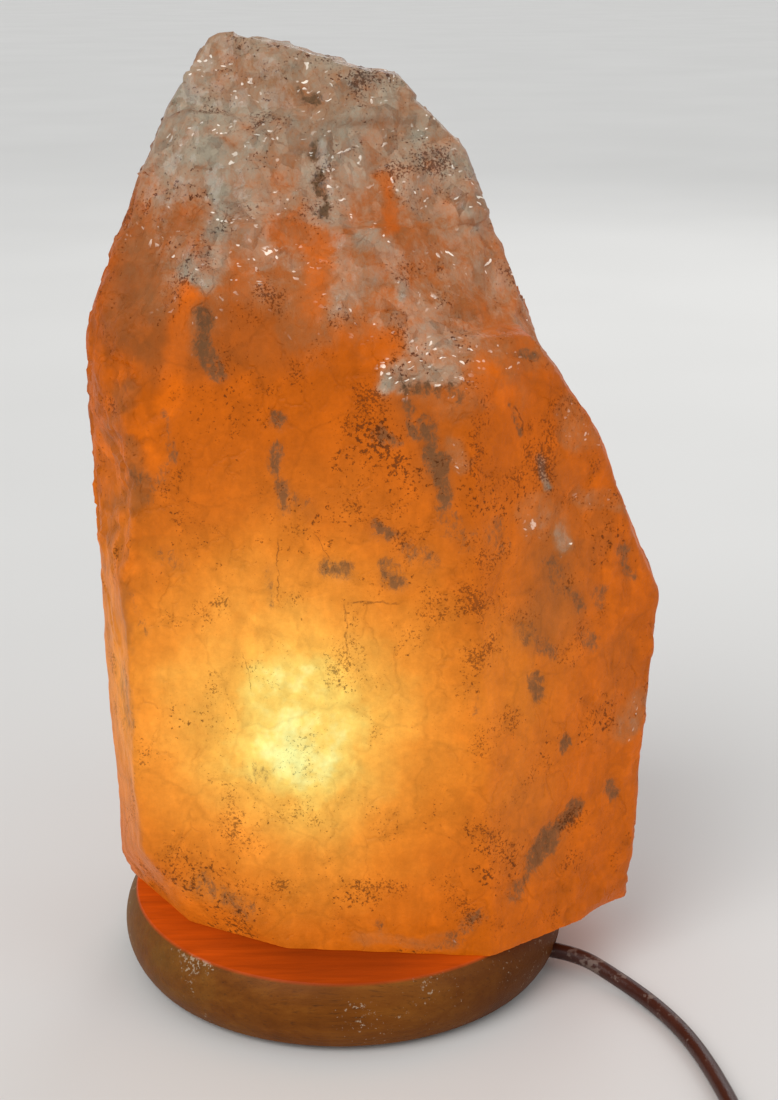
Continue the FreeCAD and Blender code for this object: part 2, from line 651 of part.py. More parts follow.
# ---------------------------------------------------------------- bulb
def bulb():
    """A small screw-cap bulb: contact, insulator, cap, envelope, stem, support wires, filament."""
    tip = size("bulb_tip_height")
    cap_low = tip + size("bulb_tip_length") + size("bulb_insulator_height")
    cap_top = cap_low + size("bulb_cap_length")
    cap_radius = size("bulb_cap_radius")
    cap_wall = size("bulb_cap_wall")
    node(turned("tip_button", [
        (0, tip),
        (size("bulb_tip_face_radius"), tip),
        (size("bulb_tip_radius"), tip + size("bulb_tip_length") / 2),
        (size("bulb_tip_radius"), tip + size("bulb_tip_length")),
        (0, tip + size("bulb_tip_length")),
    ]), "bulb_tip_contact")
    node(turned("insulator_cone", [
        (0, tip + size("bulb_tip_length")),
        (size("bulb_tip_radius") + size("bulb_insulator_lip"), tip + size("bulb_tip_length")),
        (cap_radius - cap_wall, cap_low),
        (0, cap_low),
    ]), "bulb_insulator")
    node(turned("screw_cap", [
        (0, cap_low),
        (cap_radius, cap_low),
        (cap_radius, cap_top),
        (cap_radius - cap_wall, cap_top),
        (cap_radius - cap_wall, cap_low + cap_wall),
        (0, cap_low + cap_wall),
    ]), "bulb_screw_cap")

    glass = size("bulb_glass_wall")
    outer = size("bulb_radius")
    neck = size("bulb_neck_radius")
    top = tip + size("bulb_length")
    crown_low = top - outer
    diagonal = math.sqrt(0.5)
    shoulder = size("bulb_shoulder_height")
    neck_low = cap_top - size("bulb_seal_depth")
    neck_top = cap_top + size("bulb_neck_rise")
    node(turned("envelope", [
        (neck - glass, neck_low),
        (neck, neck_low),
        (neck, neck_top),
        (outer, shoulder),
        (outer, crown_low, (outer * diagonal, crown_low + outer * diagonal)),
        (0, top),
        (0, top - glass, ((outer - glass) * diagonal, crown_low + (outer - glass) * diagonal)),
        (outer - glass, crown_low),
        (outer - glass, shoulder + glass / 2),
        (neck - glass, neck_top + glass / 2),
    ]), "bulb_glass")
    node(turned("glass_stem", [
        (0, neck_low),
        (neck - glass - close, neck_low),
        (size("bulb_stem_radius"), neck_low + size("bulb_stem_flare")),
        (size("bulb_stem_radius"), size("bulb_stem_height") - size("bulb_pinch_height")),
        (size("bulb_stem_radius") / 2, size("bulb_stem_height")),
        (0, size("bulb_stem_height")),
    ]), "bulb_stem")

    span = mm("filament_span") / 2
    wire = mm("bulb_support_wire_radius")
    stem_top = mm("bulb_stem_height")
    height = mm("filament_height")
    supports = []
    for side in (-1, 1):
        foot = Vector(side * mm("bulb_support_wire_offset"), 0, stem_top)
        hook = Vector(side * span, 0, height)
        supports.append(Part.makeCylinder(wire, foot.distanceToPoint(hook), foot, hook - foot))
    node(feature("support_wires", Part.makeCompound(supports)), "bulb_support_wires")
    lift = Vector(0, 0, wire + mm("filament_radius"))
    start, finish = Vector(-span, 0, height) + lift, Vector(span, 0, height) + lift
    crest = Vector(0, 0, height + mm("filament_bow")) + lift
    arc = Part.Arc(start, crest, finish)
    ring = Part.Wire(Part.makeCircle(mm("filament_radius"), start, arc.tangent(arc.FirstParameter)[0]))
    coil = Part.Wire(arc.toShape()).makePipeShell([ring], True, False)
    node(feature("filament_wire", coil), "bulb_filament")


# ---------------------------------------------------------------- cord
def smooth_path(route):
    """Straight runs joined by tangent arcs, each as large as its two runs allow. Returns the
    wire and the radii."""
    corners = [Vector(*point) for point in route]
    edges, radii = [], []
    start = corners[0]
    for i in range(1, len(corners) - 1):
        before = corners[i - 1] - corners[i]
        after = corners[i + 1] - corners[i]
        half_turn = (math.pi - before.getAngle(after)) / 2
        reach = 0.45 * min(before.Length, after.Length)
        radii.append(reach / math.tan(half_turn))
        arc_start = corners[i] + before.normalize() * reach
        arc_end = corners[i] + after.normalize() * reach
        bisector = (before + after).normalize()
        middle = corners[i] + bisector * (radii[-1] / math.cos(half_turn) - radii[-1])
        edges.append(Part.LineSegment(start, arc_start).toShape())
        edges.append(Part.Arc(arc_start, middle, arc_end).toShape())
        start = arc_end
    edges.append(Part.LineSegment(start, corners[-1]).toShape())
    return Part.Wire(edges), radii


def tube(label, wire, start, direction, radius):
    """A round tube along a wire, checked against its section times its length."""
    ring = Part.Wire(Part.makeCircle(radius, start, direction))
    shape = wire.makePipeShell([ring], True, False)
    expected = math.pi * radius ** 2 * wire.Length
    print(f"{label}: length {wire.Length:.1f} mm, volume ratio {shape.Volume / expected:.4f}")
    node(feature(label + "_tube", shape), label)
    return shape


def cord_tube(label, route):
    """A free stretch of the cord, along its route."""
    wire, radii = smooth_path(route)
    print(f"{label}: bend radii", " ".join(f"{radius:.0f}" for radius in radii), "mm")
    start = Vector(*route[0])
    tube(label, wire, start, Vector(*route[1]) - start, cord_radius.value)


def base_run():
    """The cord inside the base: down out of the cap, round into the groove and out to its mouth."""
    bend, low = mm("cord_bend_radius"), mm("cord_run_height")
    top = mm("holder_low_height") + mm("cap_floor") + mm("cord_entry_length")
    diagonal = bend * (1 - math.sqrt(0.5))
    edges = [
        Part.makeLine(Vector(0, 0, top), Vector(0, 0, low + bend)),
        Part.Arc(Vector(0, 0, low + bend), Vector(diagonal, 0, low + diagonal),
                 Vector(bend, 0, low)).toShape(),
        Part.makeLine(Vector(bend, 0, low), Vector(mm("cord_run_end_radius"), 0, low)),
    ]
    wire = Part.Wire(edges)
    ring = Part.Wire(Part.makeCircle(cord_radius.value, Vector(0, 0, top), Vector(0, 0, -1)))
    shape = wire.makePipeShell([ring], True, False)
    node(place(feature("cord_base_run_tube", shape), exit_frame), "cord_base_run")


def along(frame_x, frame_y, yaw, distance, height):
    """A point on a piece's own long axis."""
    turn = math.radians(yaw)
    return (frame_x + distance * math.cos(turn), frame_y + distance * math.sin(turn), height)


floor = cord_radius.value
approach, landing, touch = (mm(f"cord_{stage}_rise") for stage in ("approach", "landing", "touch"))
dimmer_axis_height = mm("dimmer_split_height")
plug_axis_height = mm("plug_height") / 2
dimmer_reach = mm("dimmer_length") / 2 + mm("relief_length")
sleeve_straight = mm("cord_sleeve_straight")


def lead_route():
    """From the groove's mouth over the floor to the dimmer's near sleeve."""
    yaw = mm("cord_exit_angle")
    mouth = along(0, 0, yaw, mm("cord_run_end_radius"), mm("cord_run_height"))
    clear = along(0, 0, yaw, mm("cord_run_end_radius") + mm("cord_mouth_straight"), mm("cord_run_height"))
    place_in = (mm("dimmer_x"), mm("dimmer_y"), mm("dimmer_yaw"))
    return [
        mouth, clear,
        (77.5, -31.5, 3.6), (86.6, -43.5, floor), (93.2, -59.0, floor), (97.2, -77.5, floor),
        (99.6, -99.0, floor), (102.6, -122.0, floor), (104.8, -145.0, floor),
        (105.7, -164.0, floor), (105.4, -180.0, floor + touch), (104.8, -192.7, floor + landing),
        (98.7, -204.1, floor + approach),
        along(*place_in, -dimmer_reach - sleeve_straight, dimmer_axis_height),
        along(*place_in, -dimmer_reach, dimmer_axis_height),
    ]


def tail_route():
    """From the dimmer's far sleeve round to the start of the coil."""
    place_in = (mm("dimmer_x"), mm("dimmer_y"), mm("dimmer_yaw"))
    x = mm("coil_centre_x") - coil_radii()[0]
    y = mm("coil_centre_y") - mm("cord_diameter")
    return [
        along(*place_in, dimmer_reach, dimmer_axis_height),
        along(*place_in, dimmer_reach + sleeve_straight, dimmer_axis_height),
        (-46.3, -213.2, floor + approach), (-53.4, -201.4, floor + landing), (-54.9, -186.6, floor + touch),
        (x, y - sleeve_straight, floor), (x, y, floor),
    ]


def coil_radii():
    """The radius at the start of each half turn: in at a steady rate, level, then out."""
    step = mm("coil_pitch") / 2
    inward, outward = int(mm("coil_half_turns_in")), int(mm("coil_half_turns_out"))
    radii = [mm("coil_inner_radius") + step * i for i in range(inward, -1, -1)]
    return radii + [mm("coil_inner_radius") + step * i for i in range(outward + 1)]


def coil_path():
    """Half turns, each a semicircle on its own centre, clockwise from the left. The one where the
    spiral reverses is tilted and climbs to the second layer. A quarter turn leads out."""
    centre = Vector(mm("coil_centre_x"), mm("coil_centre_y"), floor)
    radii = coil_radii()
    climb = int(mm("coil_half_turns_in"))
    rise = mm("coil_layer_rise")
    side = -1
    first = centre + Vector(side * radii[0], 0, 0)
    point = first
    arcs = []
    for i in range(len(radii) - 1):
        up = rise if i >= climb else 0
        target = centre + Vector(-side * radii[i + 1], 0, up)
        middle = (point + target) / 2 + Vector(0, -side * point.distanceToPoint(target) / 2, 0)
        arcs.append(Part.Arc(point, middle, target))
        side = -side
        point = target
    out = mm("coil_exit_radius")
    hub = point + Vector(out, 0, 0)
    last = hub + Vector(0, out, 0)
    arcs.append(Part.Arc(point, hub + Vector(-out, out, 0) * math.sqrt(0.5), last))
    return arcs, first, last


def spare_coil():
    """The spare cord, wound as one tube, with its least gap to itself."""
    arcs, first, last = coil_path()
    end = mm("cord_diameter")
    before = first - Vector(0, end, 0)
    edges = [Part.LineSegment(before, first).toShape()]
    edges += [arc.toShape() for arc in arcs]
    edges.append(Part.LineSegment(last, last + Vector(end, 0, 0)).toShape())
    wire = Part.Wire(edges)
    tube("cord_coil", wire, before, Vector(0, 1, 0), cord_radius.value)
    step = end * 2 / 3
    samples = wire.discretize(Distance=step)
    apart = int(4 * end / step) + 1
    least = min(samples[i].distanceToPoint(samples[j])
                for i in range(len(samples)) for j in range(i + apart, len(samples)))
    turns = (len(arcs) - 1) / 2 + 1 / 4
    print(f"cord_coil: {turns:.2f} turns, least gap to itself {least - end:.2f} mm")
    return last + Vector(end, 0, 0)


def plug_end_route(start):
    """From the coil's end over the top of the coil to the plug."""
    reach = mm("plug_relief_length") + mm("plug_body_length") / 2
    place_in = (mm("plug_x"), mm("plug_y"), mm("plug_yaw"))
    high = start.z
    return [
        tuple(start), (start.x + mm("coil_exit_straight"), start.y, high), (12.9, -113.6, high - landing),
        (25.2, -106.8, floor + 2.4), (37.4, -101.0, floor + 0.7), (50.4, -101.5, floor),
        (61.7, -108.0, floor + 0.7),
        along(*place_in, -reach - sleeve_straight, plug_axis_height),
        along(*place_in, -reach, plug_axis_height),
    ]


# ---------------------------------------------------------------- dimmer
def rounded(length, width, radius):
    """A rectangle about the origin with round corners."""
    x, y = as_size(length) / 2, as_size(width) / 2
    cut_in = as_size(radius) * (1 - math.sqrt(0.5))
    r = as_size(radius)
    return [
        (x, -(y - r)), (x, y - r, (x - cut_in, y - cut_in)),
        (x - r, y), (-(x - r), y, (-(x - cut_in), y - cut_in)),
        (-x, y - r), (-x, -(y - r), (-(x - cut_in), -(y - cut_in))),
        (-(x - r), -y), (x - r, -y, (x - cut_in, -(y - cut_in))),
    ]


dimmer_frame = (size("dimmer_x"), size("dimmer_y"), 0, size("dimmer_yaw"))
wheel_low = size("wheel_height") - size("wheel_thickness") / 2
wheel_high = size("wheel_height") + size("wheel_thickness") / 2
wall = size("dimmer_wall")
board_low = wall + size("board_rest_height")
control_low = board_low + size("board_thickness")


def dimmer_tools(prefix):
    """What both half shells give way to: the wheel's slot and the cord's sleeves."""
    gap = size("wheel_slot_gap")
    slot = rod(prefix + "_wheel_slot", size("wheel_radius") + gap,
               (0, size("wheel_offset"), wheel_low - gap), size("wheel_thickness") + gap * 2)
    half = size("dimmer_length") / 2 + PAST
    passage = rod(prefix + "_cord_passage", size("relief_root_radius") + turning,
                  (-half, 0, size("dimmer_split_height")), half * 2, "x")
    return [slot, passage]


def dimmer_shells():
    """Two hollow half shells with posts for the screws and, in the lower one, rests for the board."""
    length, width, radius = size("dimmer_length"), size("dimmer_width"), size("dimmer_corner_radius")
    split, top = size("dimmer_split_height"), size("dimmer_height")
    inside = (length - wall * 2, width - wall * 2, radius - wall)
    lower = new_body("lower_shell")
    pad(lower, "lower", rounded(length, width, radius), 0, split)
    pocket(lower, "lower_hollow", rounded(*inside), wall, split)
    upper = new_body("upper_shell")
    pad(upper, "upper", rounded(length, width, radius), split, top)
    pocket(upper, "upper_hollow", rounded(*inside), split, top - wall)
    doc.recompute()
    for body, height in ((lower, 0.0), (upper, top.value)):
        names = [f"Edge{i}" for i, edge in enumerate(body.Tip.Shape.Edges, start=1)
                 if all(abs(v.Z - height) < 1e-4 for v in edge.Vertexes)]
        soft = body.newObject("PartDesign::Fillet", body.Name + "_soft_edge")
        soft.Base = (body.getObject(body.Name.split("_")[0] + "_hollow_pocket"), names)
        soft.setExpression("Radius", size("dimmer_edge_round").text)
        body.Tip = soft
    offset = size("shell_screw_offset")
    rest_x = length / 2 - wall - size("board_margin") - size("board_rest_inset")
    half_rest = size("board_rest_width") / 2
    rests = [block(f"board_rest_{side}", (rest_x * side - half_rest, -(width / 4), wall),
                   (rest_x * side + half_rest, width / 4, board_low))
             for side in (-1, 1)]
    for label, body, low, high in (("dimmer_lower_shell", lower, wall, split),
                                   ("dimmer_upper_shell", upper, split, top - wall)):
        posts = []
        holes = []
        for side in (-1, 1):
            spot = (offset * side, -(width / 2 - wall - size("shell_screw_boss_radius")))
            posts.append(rod(f"{label}_post_{side}", size("shell_screw_boss_radius"), (*spot, low), high - low))
            holes.append(rod(f"{label}_screw_bore_{side}", size("shell_screw_radius") + close,
                             (*spot, -PAST), top - wall + PAST))
            holes.append(rod(f"{label}_screw_sink_{side}", size("shell_screw_head_radius") + close,
                             (*spot, -PAST), size("shell_screw_sink_depth") + PAST))
        inner = posts + rests if body is lower else posts
        shell = cut(label + "_cut", fuse(label + "_posts", [body] + inner), dimmer_tools(label) + holes)
        node(place(shell, dimmer_frame), label)


def dimmer_wheel():
    """The fluted thumb wheel, with a bore that turns on the control's shaft."""
    edge = size("wheel_edge")
    wheel = turned("wheel", [
        (size("shaft_radius") + turning, wheel_low),
        (size("wheel_radius") - edge, wheel_low),
        (size("wheel_radius"), wheel_low + edge),
        (size("wheel_radius"), wheel_high - edge),
        (size("wheel_radius") - edge, wheel_high),
        (size("shaft_radius") + turning, wheel_high),
    ])
    doc.recompute()
    sketch = new_sketch(wheel, "XY_Plane", "flute_outline", wheel_high)
    centre = Vector(mm("wheel_radius"), 0, 0)
    ring = sketch.addGeometry(Part.Circle(centre, Vector(0, 0, 1), mm("wheel_flute_radius")))
    fix_point(sketch, ring, 3, (size("wheel_radius"), 0))
    bound = sketch.addConstraint(Sketcher.Constraint("Radius", ring, mm("wheel_flute_radius")))
    sketch.setExpression(f"Constraints[{bound}]", size("wheel_flute_radius").text)
    flute = wheel.newObject("PartDesign::Pocket", "flute")
    flute.Profile = sketch
    flute.Type = "ThroughAll"
    wheel.Tip = flute
    ring_of_flutes = wheel.newObject("PartDesign::PolarPattern", "flutes")
    ring_of_flutes.Originals = [flute]
    ring_of_flutes.Axis = (sketch, ["N_Axis"])
    ring_of_flutes.Angle = 360
    ring_of_flutes.setExpression("Occurrences", size("wheel_flute_count").text)
    wheel.Tip = ring_of_flutes
    turn = math.radians(mm("dimmer_yaw"))
    offset = size("wheel_offset")
    spot = (size("dimmer_x") - offset * math.sin(turn), size("dimmer_y") + offset * math.cos(turn), 0,
            size("dimmer_yaw"))
    node(place(wheel, spot), "dimmer_wheel")


def dimmer_inside():
    """The circuit board on its rests, and the control whose shaft carries the wheel."""
    offset = size("wheel_offset")
    margin = wall + size("board_margin")
    half_length = size("dimmer_length") / 2 - margin - size("board_end_inset")
    half_width = size("dimmer_width") / 2 - margin
    plate = block("board_blank", (-half_length, size("board_screw_inset") - half_width, board_low),
                  (half_length, half_width, control_low))
    pad_under_shaft = rod("board_pad", size("board_pad_radius"), (0, offset, board_low),
                          size("board_thickness"))
    node(place(fuse("board_plate", [plate, pad_under_shaft]), dimmer_frame), "dimmer_board")
    case_high = wheel_low - slip
    case = rod("control_case", size("control_radius"), (0, offset, control_low), case_high - control_low)
    shaft = rod("control_shaft", size("shaft_radius"), (0, offset, control_low), wheel_high - control_low)
    node(place(fuse("control", [case, shaft]), dimmer_frame), "dimmer_control")


def dimmer_screws():
    """The two screws that hold the shells together, heads down in their sinks, in one group."""
    offset = size("shell_screw_offset")
    y = -(size("dimmer_width") / 2 - wall - size("shell_screw_boss_radius"))
    low = size("shell_screw_recess")
    head_height = size("shell_screw_sink_depth") - low
    length = size("dimmer_height") - wall - size("shell_screw_end_gap") - low
    screws = []
    for side in (-1, 1):
        spot = (offset * side, y, low)
        head = rod(f"dimmer_screw_head_{side}", size("shell_screw_head_radius"), spot, head_height)
        shank = rod(f"dimmer_screw_shank_{side}", size("shell_screw_radius"), spot, length)
        screws.append(fuse(f"dimmer_screw_{side}", [head, shank]))
    group = doc.addObject("Part::Compound", "dimmer_screw_group")
    group.Links = screws
    node(place(group, dimmer_frame), "dimmer_screws")


def dimmer_reliefs():
    """Tapered rubber sleeves where the cord enters and leaves the dimmer."""
    inside = size("relief_flange") + wall
    root, tip = size("relief_root_radius"), size("relief_tip_radius")
    flange = root + size("relief_flange_rise")
    reach = mm("dimmer_length") / 2
    for label, yaw in (("dimmer_inlet_relief", 180), ("dimmer_outlet_relief", 0)):
        sleeve = turned(label + "_sleeve", [
            (0, -inside),
            (flange, -inside),
            (flange, -wall - close),
            (root, -wall - close),
            (root, 0),
            (tip, size("relief_length")),
            (0, size("relief_length")),
        ])
        turn = math.radians(mm("dimmer_yaw") + yaw)
        sleeve.Placement = Placement(
            Vector(mm("dimmer_x") + reach * math.cos(turn), mm("dimmer_y") + reach * math.sin(turn),
                   mm("dimmer_split_height")),
            Rotation(Vector(0, 0, 1), mm("dimmer_yaw") + yaw) * Rotation(Vector(0, 1, 0), 90))
        node(sleeve, label)


# ---------------------------------------------------------------- plug
plug_frame = (size("plug_x"), size("plug_y"), 0, size("plug_yaw"))


def plug():
    """The moulded body with its tapered sleeve, and the two blades in their slots."""
    half = size("plug_body_length") / 2
    body = new_body("plug_moulding")
    pad(body, "plug", [
        (-half, -(size("plug_width") / 2 - size("plug_nose"))),
        (-half + size("plug_nose"), -(size("plug_width") / 2)),
        (half, -(size("plug_width") / 2)),
        (half, size("plug_width") / 2),
        (-half + size("plug_nose"), size("plug_width") / 2),
        (-half, size("plug_width") / 2 - size("plug_nose")),
    ], 0, size("plug_height"))
    sleeve_root = size("relief_root_radius") + size("plug_relief_flare")
    sleeve = cone("plug_relief", size("relief_tip_radius"), sleeve_root,
                  (-half - size("plug_relief_length"), 0, size("plug_height") / 2),
                  size("plug_relief_length"), "x")
    slots = []
    blades = (("plug_blade_live", 1, size("blade_live_width")),
              ("plug_blade_neutral", -1, size("blade_neutral_width")))
    thickness, middle = size("blade_thickness"), size("plug_height") / 2
    for label, side, width in blades:
        y = size("blade_spacing") / 2 * side
        low = (half - size("blade_root"), y - thickness / 2, middle - width / 2)
        high = (half + size("blade_length"), y + thickness / 2, middle + width / 2)
        slots.append(block(label + "_slot", low, high))
        hole_x = half + size("blade_length") - size("blade_hole_setback")
        hole = rod(label + "_hole", size("blade_hole_radius"), (hole_x, y - thickness / 2 - PAST, middle),
                   thickness + PAST * 2, "y")
        strip = cut(label + "_strip", block(label + "_blank", low, high), [hole])
        node(place(strip, plug_frame), label)
    moulding = cut("plug_cut", fuse("plug_with_relief", [body, sleeve]), slots)
    node(place(moulding, plug_frame), "plug_body")


# ---------------------------------------------------------------- build, check and export
wooden_base()
feet()
salt_crystal()
base_screws()
lampholder_body()
lampholder_cap()
thread_shell()
centre_contact()
clips()
clip_pins()
bulb()
base_run()
cord_tube("cord_lead", lead_route())
cord_tube("cord_tail", tail_route())
coil_end = spare_coil()
cord_tube("cord_plug_end", plug_end_route(coil_end))
dimmer_shells()
dimmer_wheel()
dimmer_inside()
dimmer_screws()
dimmer_reliefs()
plug()
doc.recompute()

for thing in doc.Objects:
    bad = [state for state in thing.State if state in ("Invalid", "Error")]
    if bad:
        raise SystemExit(f"{thing.Name}: {bad}")
for thing in nodes:
    if thing.Shape.isNull() or not thing.Shape.isValid() or not thing.Shape.Solids:
        raise SystemExit(f"{thing.Label}: no valid solid")

os.makedirs("parts", exist_ok=True)
for thing in nodes:
    thing.Shape.exportStep(os.path.join("parts", thing.Label + ".step"))
    box = thing.Shape.BoundBox
    print(f"{thing.Label}: {len(thing.Shape.Solids)} solid, {thing.Shape.Volume:.1f} mm3, "
          f"z {box.ZMin:.2f} to {box.ZMax:.2f}")
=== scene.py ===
import json
import math
from types import SimpleNamespace

import bmesh
import bpy
import numpy as np
from mathutils import Matrix, Vector, noise


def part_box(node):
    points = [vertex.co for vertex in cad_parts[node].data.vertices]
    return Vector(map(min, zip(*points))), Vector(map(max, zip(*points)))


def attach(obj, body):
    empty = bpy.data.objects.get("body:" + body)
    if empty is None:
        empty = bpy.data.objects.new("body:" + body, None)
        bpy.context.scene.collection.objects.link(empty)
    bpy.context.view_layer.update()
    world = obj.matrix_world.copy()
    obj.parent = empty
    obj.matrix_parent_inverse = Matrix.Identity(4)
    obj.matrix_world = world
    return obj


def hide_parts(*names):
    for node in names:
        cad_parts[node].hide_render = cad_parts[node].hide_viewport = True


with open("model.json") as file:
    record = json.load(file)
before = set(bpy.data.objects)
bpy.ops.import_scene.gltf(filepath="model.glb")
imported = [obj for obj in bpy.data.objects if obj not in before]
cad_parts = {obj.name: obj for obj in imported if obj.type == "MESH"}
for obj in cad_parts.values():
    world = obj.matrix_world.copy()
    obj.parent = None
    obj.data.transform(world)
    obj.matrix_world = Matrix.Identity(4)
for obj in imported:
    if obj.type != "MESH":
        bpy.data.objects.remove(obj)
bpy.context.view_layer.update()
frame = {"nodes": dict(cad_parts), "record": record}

# Looks of the salt crystal lamp. Metres, in the frame of the CAD model: the origin on the floor
# under the middle of the base, +Z up, the viewer on the -Y side.

scene = bpy.context.scene
nodes = frame["nodes"]
MM = 0.001

# ---------------------------------------------------------------- camera
PHOTO_HEIGHT_PX = 1100
FOCAL_LENGTH_PX = 1800
EYE = Vector((0.0, -0.4827, 0.2814))
EYE_TURN_RIGHT = math.radians(1.6)
EYE_TILT_DOWN = math.radians(18.18)
NEAREST_SEEN, FARTHEST_SEEN = 0.01, 60


def camera():
    """The photograph's viewing angle."""
    data = bpy.data.cameras.new("camera")
    data.lens = data.sensor_width * FOCAL_LENGTH_PX / PHOTO_HEIGHT_PX
    data.clip_start = NEAREST_SEEN
    data.clip_end = FARTHEST_SEEN
    eye = bpy.data.objects.new("camera", data)
    eye.location = EYE
    eye.rotation_euler = (math.pi / 2 - EYE_TILT_DOWN, 0, -EYE_TURN_RIGHT)
    scene.collection.objects.link(eye)
    scene.camera = eye


# ---------------------------------------------------------------- shader helpers
def add(tree, kind, inputs=None, **settings):
    """A node with its settings. An input is a value, or the output that feeds it."""
    made = tree.nodes.new("ShaderNode" + kind)
    for name, value in settings.items():
        setattr(made, name, value)
    for name, value in (inputs or {}).items():
        if isinstance(value, bpy.types.NodeSocket):
            tree.links.new(value, made.inputs[name])
        else:
            made.inputs[name].default_value = value
    return made


def place_of(tree):
    """A point's place on the piece."""
    return add(tree, "TexCoord").outputs["Object"]


def axes_of(tree, place):
    """A place's X, Y and Z."""
    return add(tree, "SeparateXYZ", {0: place}).outputs


def vectors(tree, operation, first, second):
    """A sum with two vectors."""
    return add(tree, "VectorMath", {0: first, 1: second}, operation=operation).outputs[0]


def scaled(tree, vector, x, y, z):
    """A vector stretched along its axes."""
    return vectors(tree, "MULTIPLY", vector, (x, y, z))


def length_of(tree, vector):
    """How long a vector is."""
    return add(tree, "VectorMath", {0: vector}, operation="LENGTH").outputs["Value"]


def dimmed(tree, colour, share):
    """A colour made darker, or brighter, by a share."""
    return add(tree, "VectorMath", {0: colour, "Scale": share}, operation="SCALE").outputs[0]


def number(tree, operation, *values):
    """A sum with one or more numbers."""
    return add(tree, "Math", dict(enumerate(values)), operation=operation).outputs[0]


def chained(tree, operation, values):
    """The same sum with one number after another."""
    result = values[0]
    for value in values[1:]:
        result = number(tree, operation, result, value)
    return result


def product(tree, *factors):
    """Numbers multiplied."""
    return chained(tree, "MULTIPLY", factors)


def total(tree, *terms):
    """Numbers added up. A term is a value, or a group of factors."""
    values = [product(tree, *term) if isinstance(term, tuple) else term for term in terms]
    return chained(tree, "ADD", values)


def strongest(tree, *masks):
    """The highest of some masks."""
    return chained(tree, "MAXIMUM", masks)


def cloud(tree, vector, scale, detail=4.0, roughness=0.55, warp=0.0):
    """Soft random values from 0 to 1."""
    return add(tree, "TexNoise", {"Vector": vector, "Scale": scale, "Detail": detail,
                                  "Roughness": roughness, "Distortion": warp}).outputs["Fac"]


def band(tree, value, low, high, first=0.0, last=1.0):
    """A value's range from low to high spread over first to last, and held there."""
    return add(tree, "MapRange", {"Value": value, "From Min": low, "From Max": high,
                                  "To Min": first, "To Max": last}).outputs["Result"]


def blended(tree, share, first, second):
    """Two colours mixed by a share."""
    mix = add(tree, "Mix", {"Factor": share, "A": first, "B": second}, data_type="RGBA")
    return mix.outputs["Result"]


def cells(tree, where, per_metre, feature="F1"):
    """Random cells: each has its own middle and colour, and every point its distance in it."""
    return add(tree, "TexVoronoi", {"Vector": where, "Scale": per_metre}, feature=feature).outputs


def parts_of(tree, colour):
    """A colour's red, green and blue."""
    return add(tree, "SeparateColor", {0: colour}).outputs


def ramp(tree, value, stops):
    """Colours spread over a value."""
    made = add(tree, "ValToRGB", {"Fac": value})
    elements = made.color_ramp.elements
    while len(elements) < len(stops):
        elements.new(0.5)
    for element, (position, colour) in zip(elements, stops):
        element.position = position
        element.color = (*colour, 1)
    return made.outputs["Color"]


def attribute(tree, name):
    """A mask that the piece's mesh carries."""
    return add(tree, "Attribute", attribute_name=name).outputs["Fac"]


def new_group(name, inputs, outputs):
    """A node group with named inputs, their defaults, and named outputs."""
    group = bpy.data.node_groups.new(name, "ShaderNodeTree")
    for label, default in inputs.items():
        kind = "NodeSocketColor" if isinstance(default, tuple) else "NodeSocketFloat"
        group.interface.new_socket(label, in_out="INPUT", socket_type=kind).default_value = default
    for label, kind in outputs.items():
        group.interface.new_socket(label, in_out="OUTPUT", socket_type="NodeSocket" + kind)
    enter = group.nodes.new("NodeGroupInput")
    leave = group.nodes.new("NodeGroupOutput")
    return group, enter.outputs, leave.inputs


def use(tree, group, **inputs):
    """A group placed in a material, with the material's own values."""
    made = tree.nodes.new("ShaderNodeGroup")
    made.node_tree = group
    for name, value in inputs.items():
        made.inputs[name].default_value = value
    return made.outputs


def new_finish(name, **sockets):
    """A material and its node tree, with the shader's plain sockets set."""
    material = bpy.data.materials.new(name)
    material.use_nodes = True
    for socket, value in sockets.items():
        shader_of(material.node_tree)[socket.replace("_", " ")].default_value = value
    return material, material.node_tree


def shader_of(tree):
    """The sockets of a material's shader."""
    return tree.nodes["Principled BSDF"].inputs


def feed(tree, **links):
    """Feeds the shader's sockets."""
    for socket, source in links.items():
        tree.links.new(source, shader_of(tree)[socket.replace("_", " ")])


def bump(tree, height, distance, strength=1.0):
    """A normal from a height. The distance is in metres, at full height."""
    inputs = {"Height": height, "Distance": distance, "Strength": strength}
    return add(tree, "Bump", inputs).outputs["Normal"]


# ---------------------------------------------------------------- shared effects
def wear_group():
    """Handling marks: a colour lightened in blotches, a roughness that varies with them, and a
    fine height for a moulded or worked surface."""
    group, enter, leave = new_group(
        "handling_marks",
        {"Colour": (0.5, 0.5, 0.5, 1), "Worn": (0.6, 0.6, 0.6, 1), "Scale": 60.0, "Amount": 0.3,
         "Smooth": 0.3, "Rough": 0.5, "Grain": 1500.0},
        {"Colour": "Color", "Roughness": "Float", "Height": "Float"})
    place = place_of(group)
    blotch = band(group, cloud(group, place, enter["Scale"], 6.0), 0.45, 0.75)
    share = product(group, blotch, enter["Amount"])
    rough = band(group, blotch, 0.0, 1.0, enter["Smooth"], enter["Rough"])
    group.links.new(blended(group, share, enter["Colour"], enter["Worn"]), leave["Colour"])
    group.links.new(rough, leave["Roughness"])
    group.links.new(cloud(group, place, enter["Grain"], 2.0), leave["Height"])
    return group


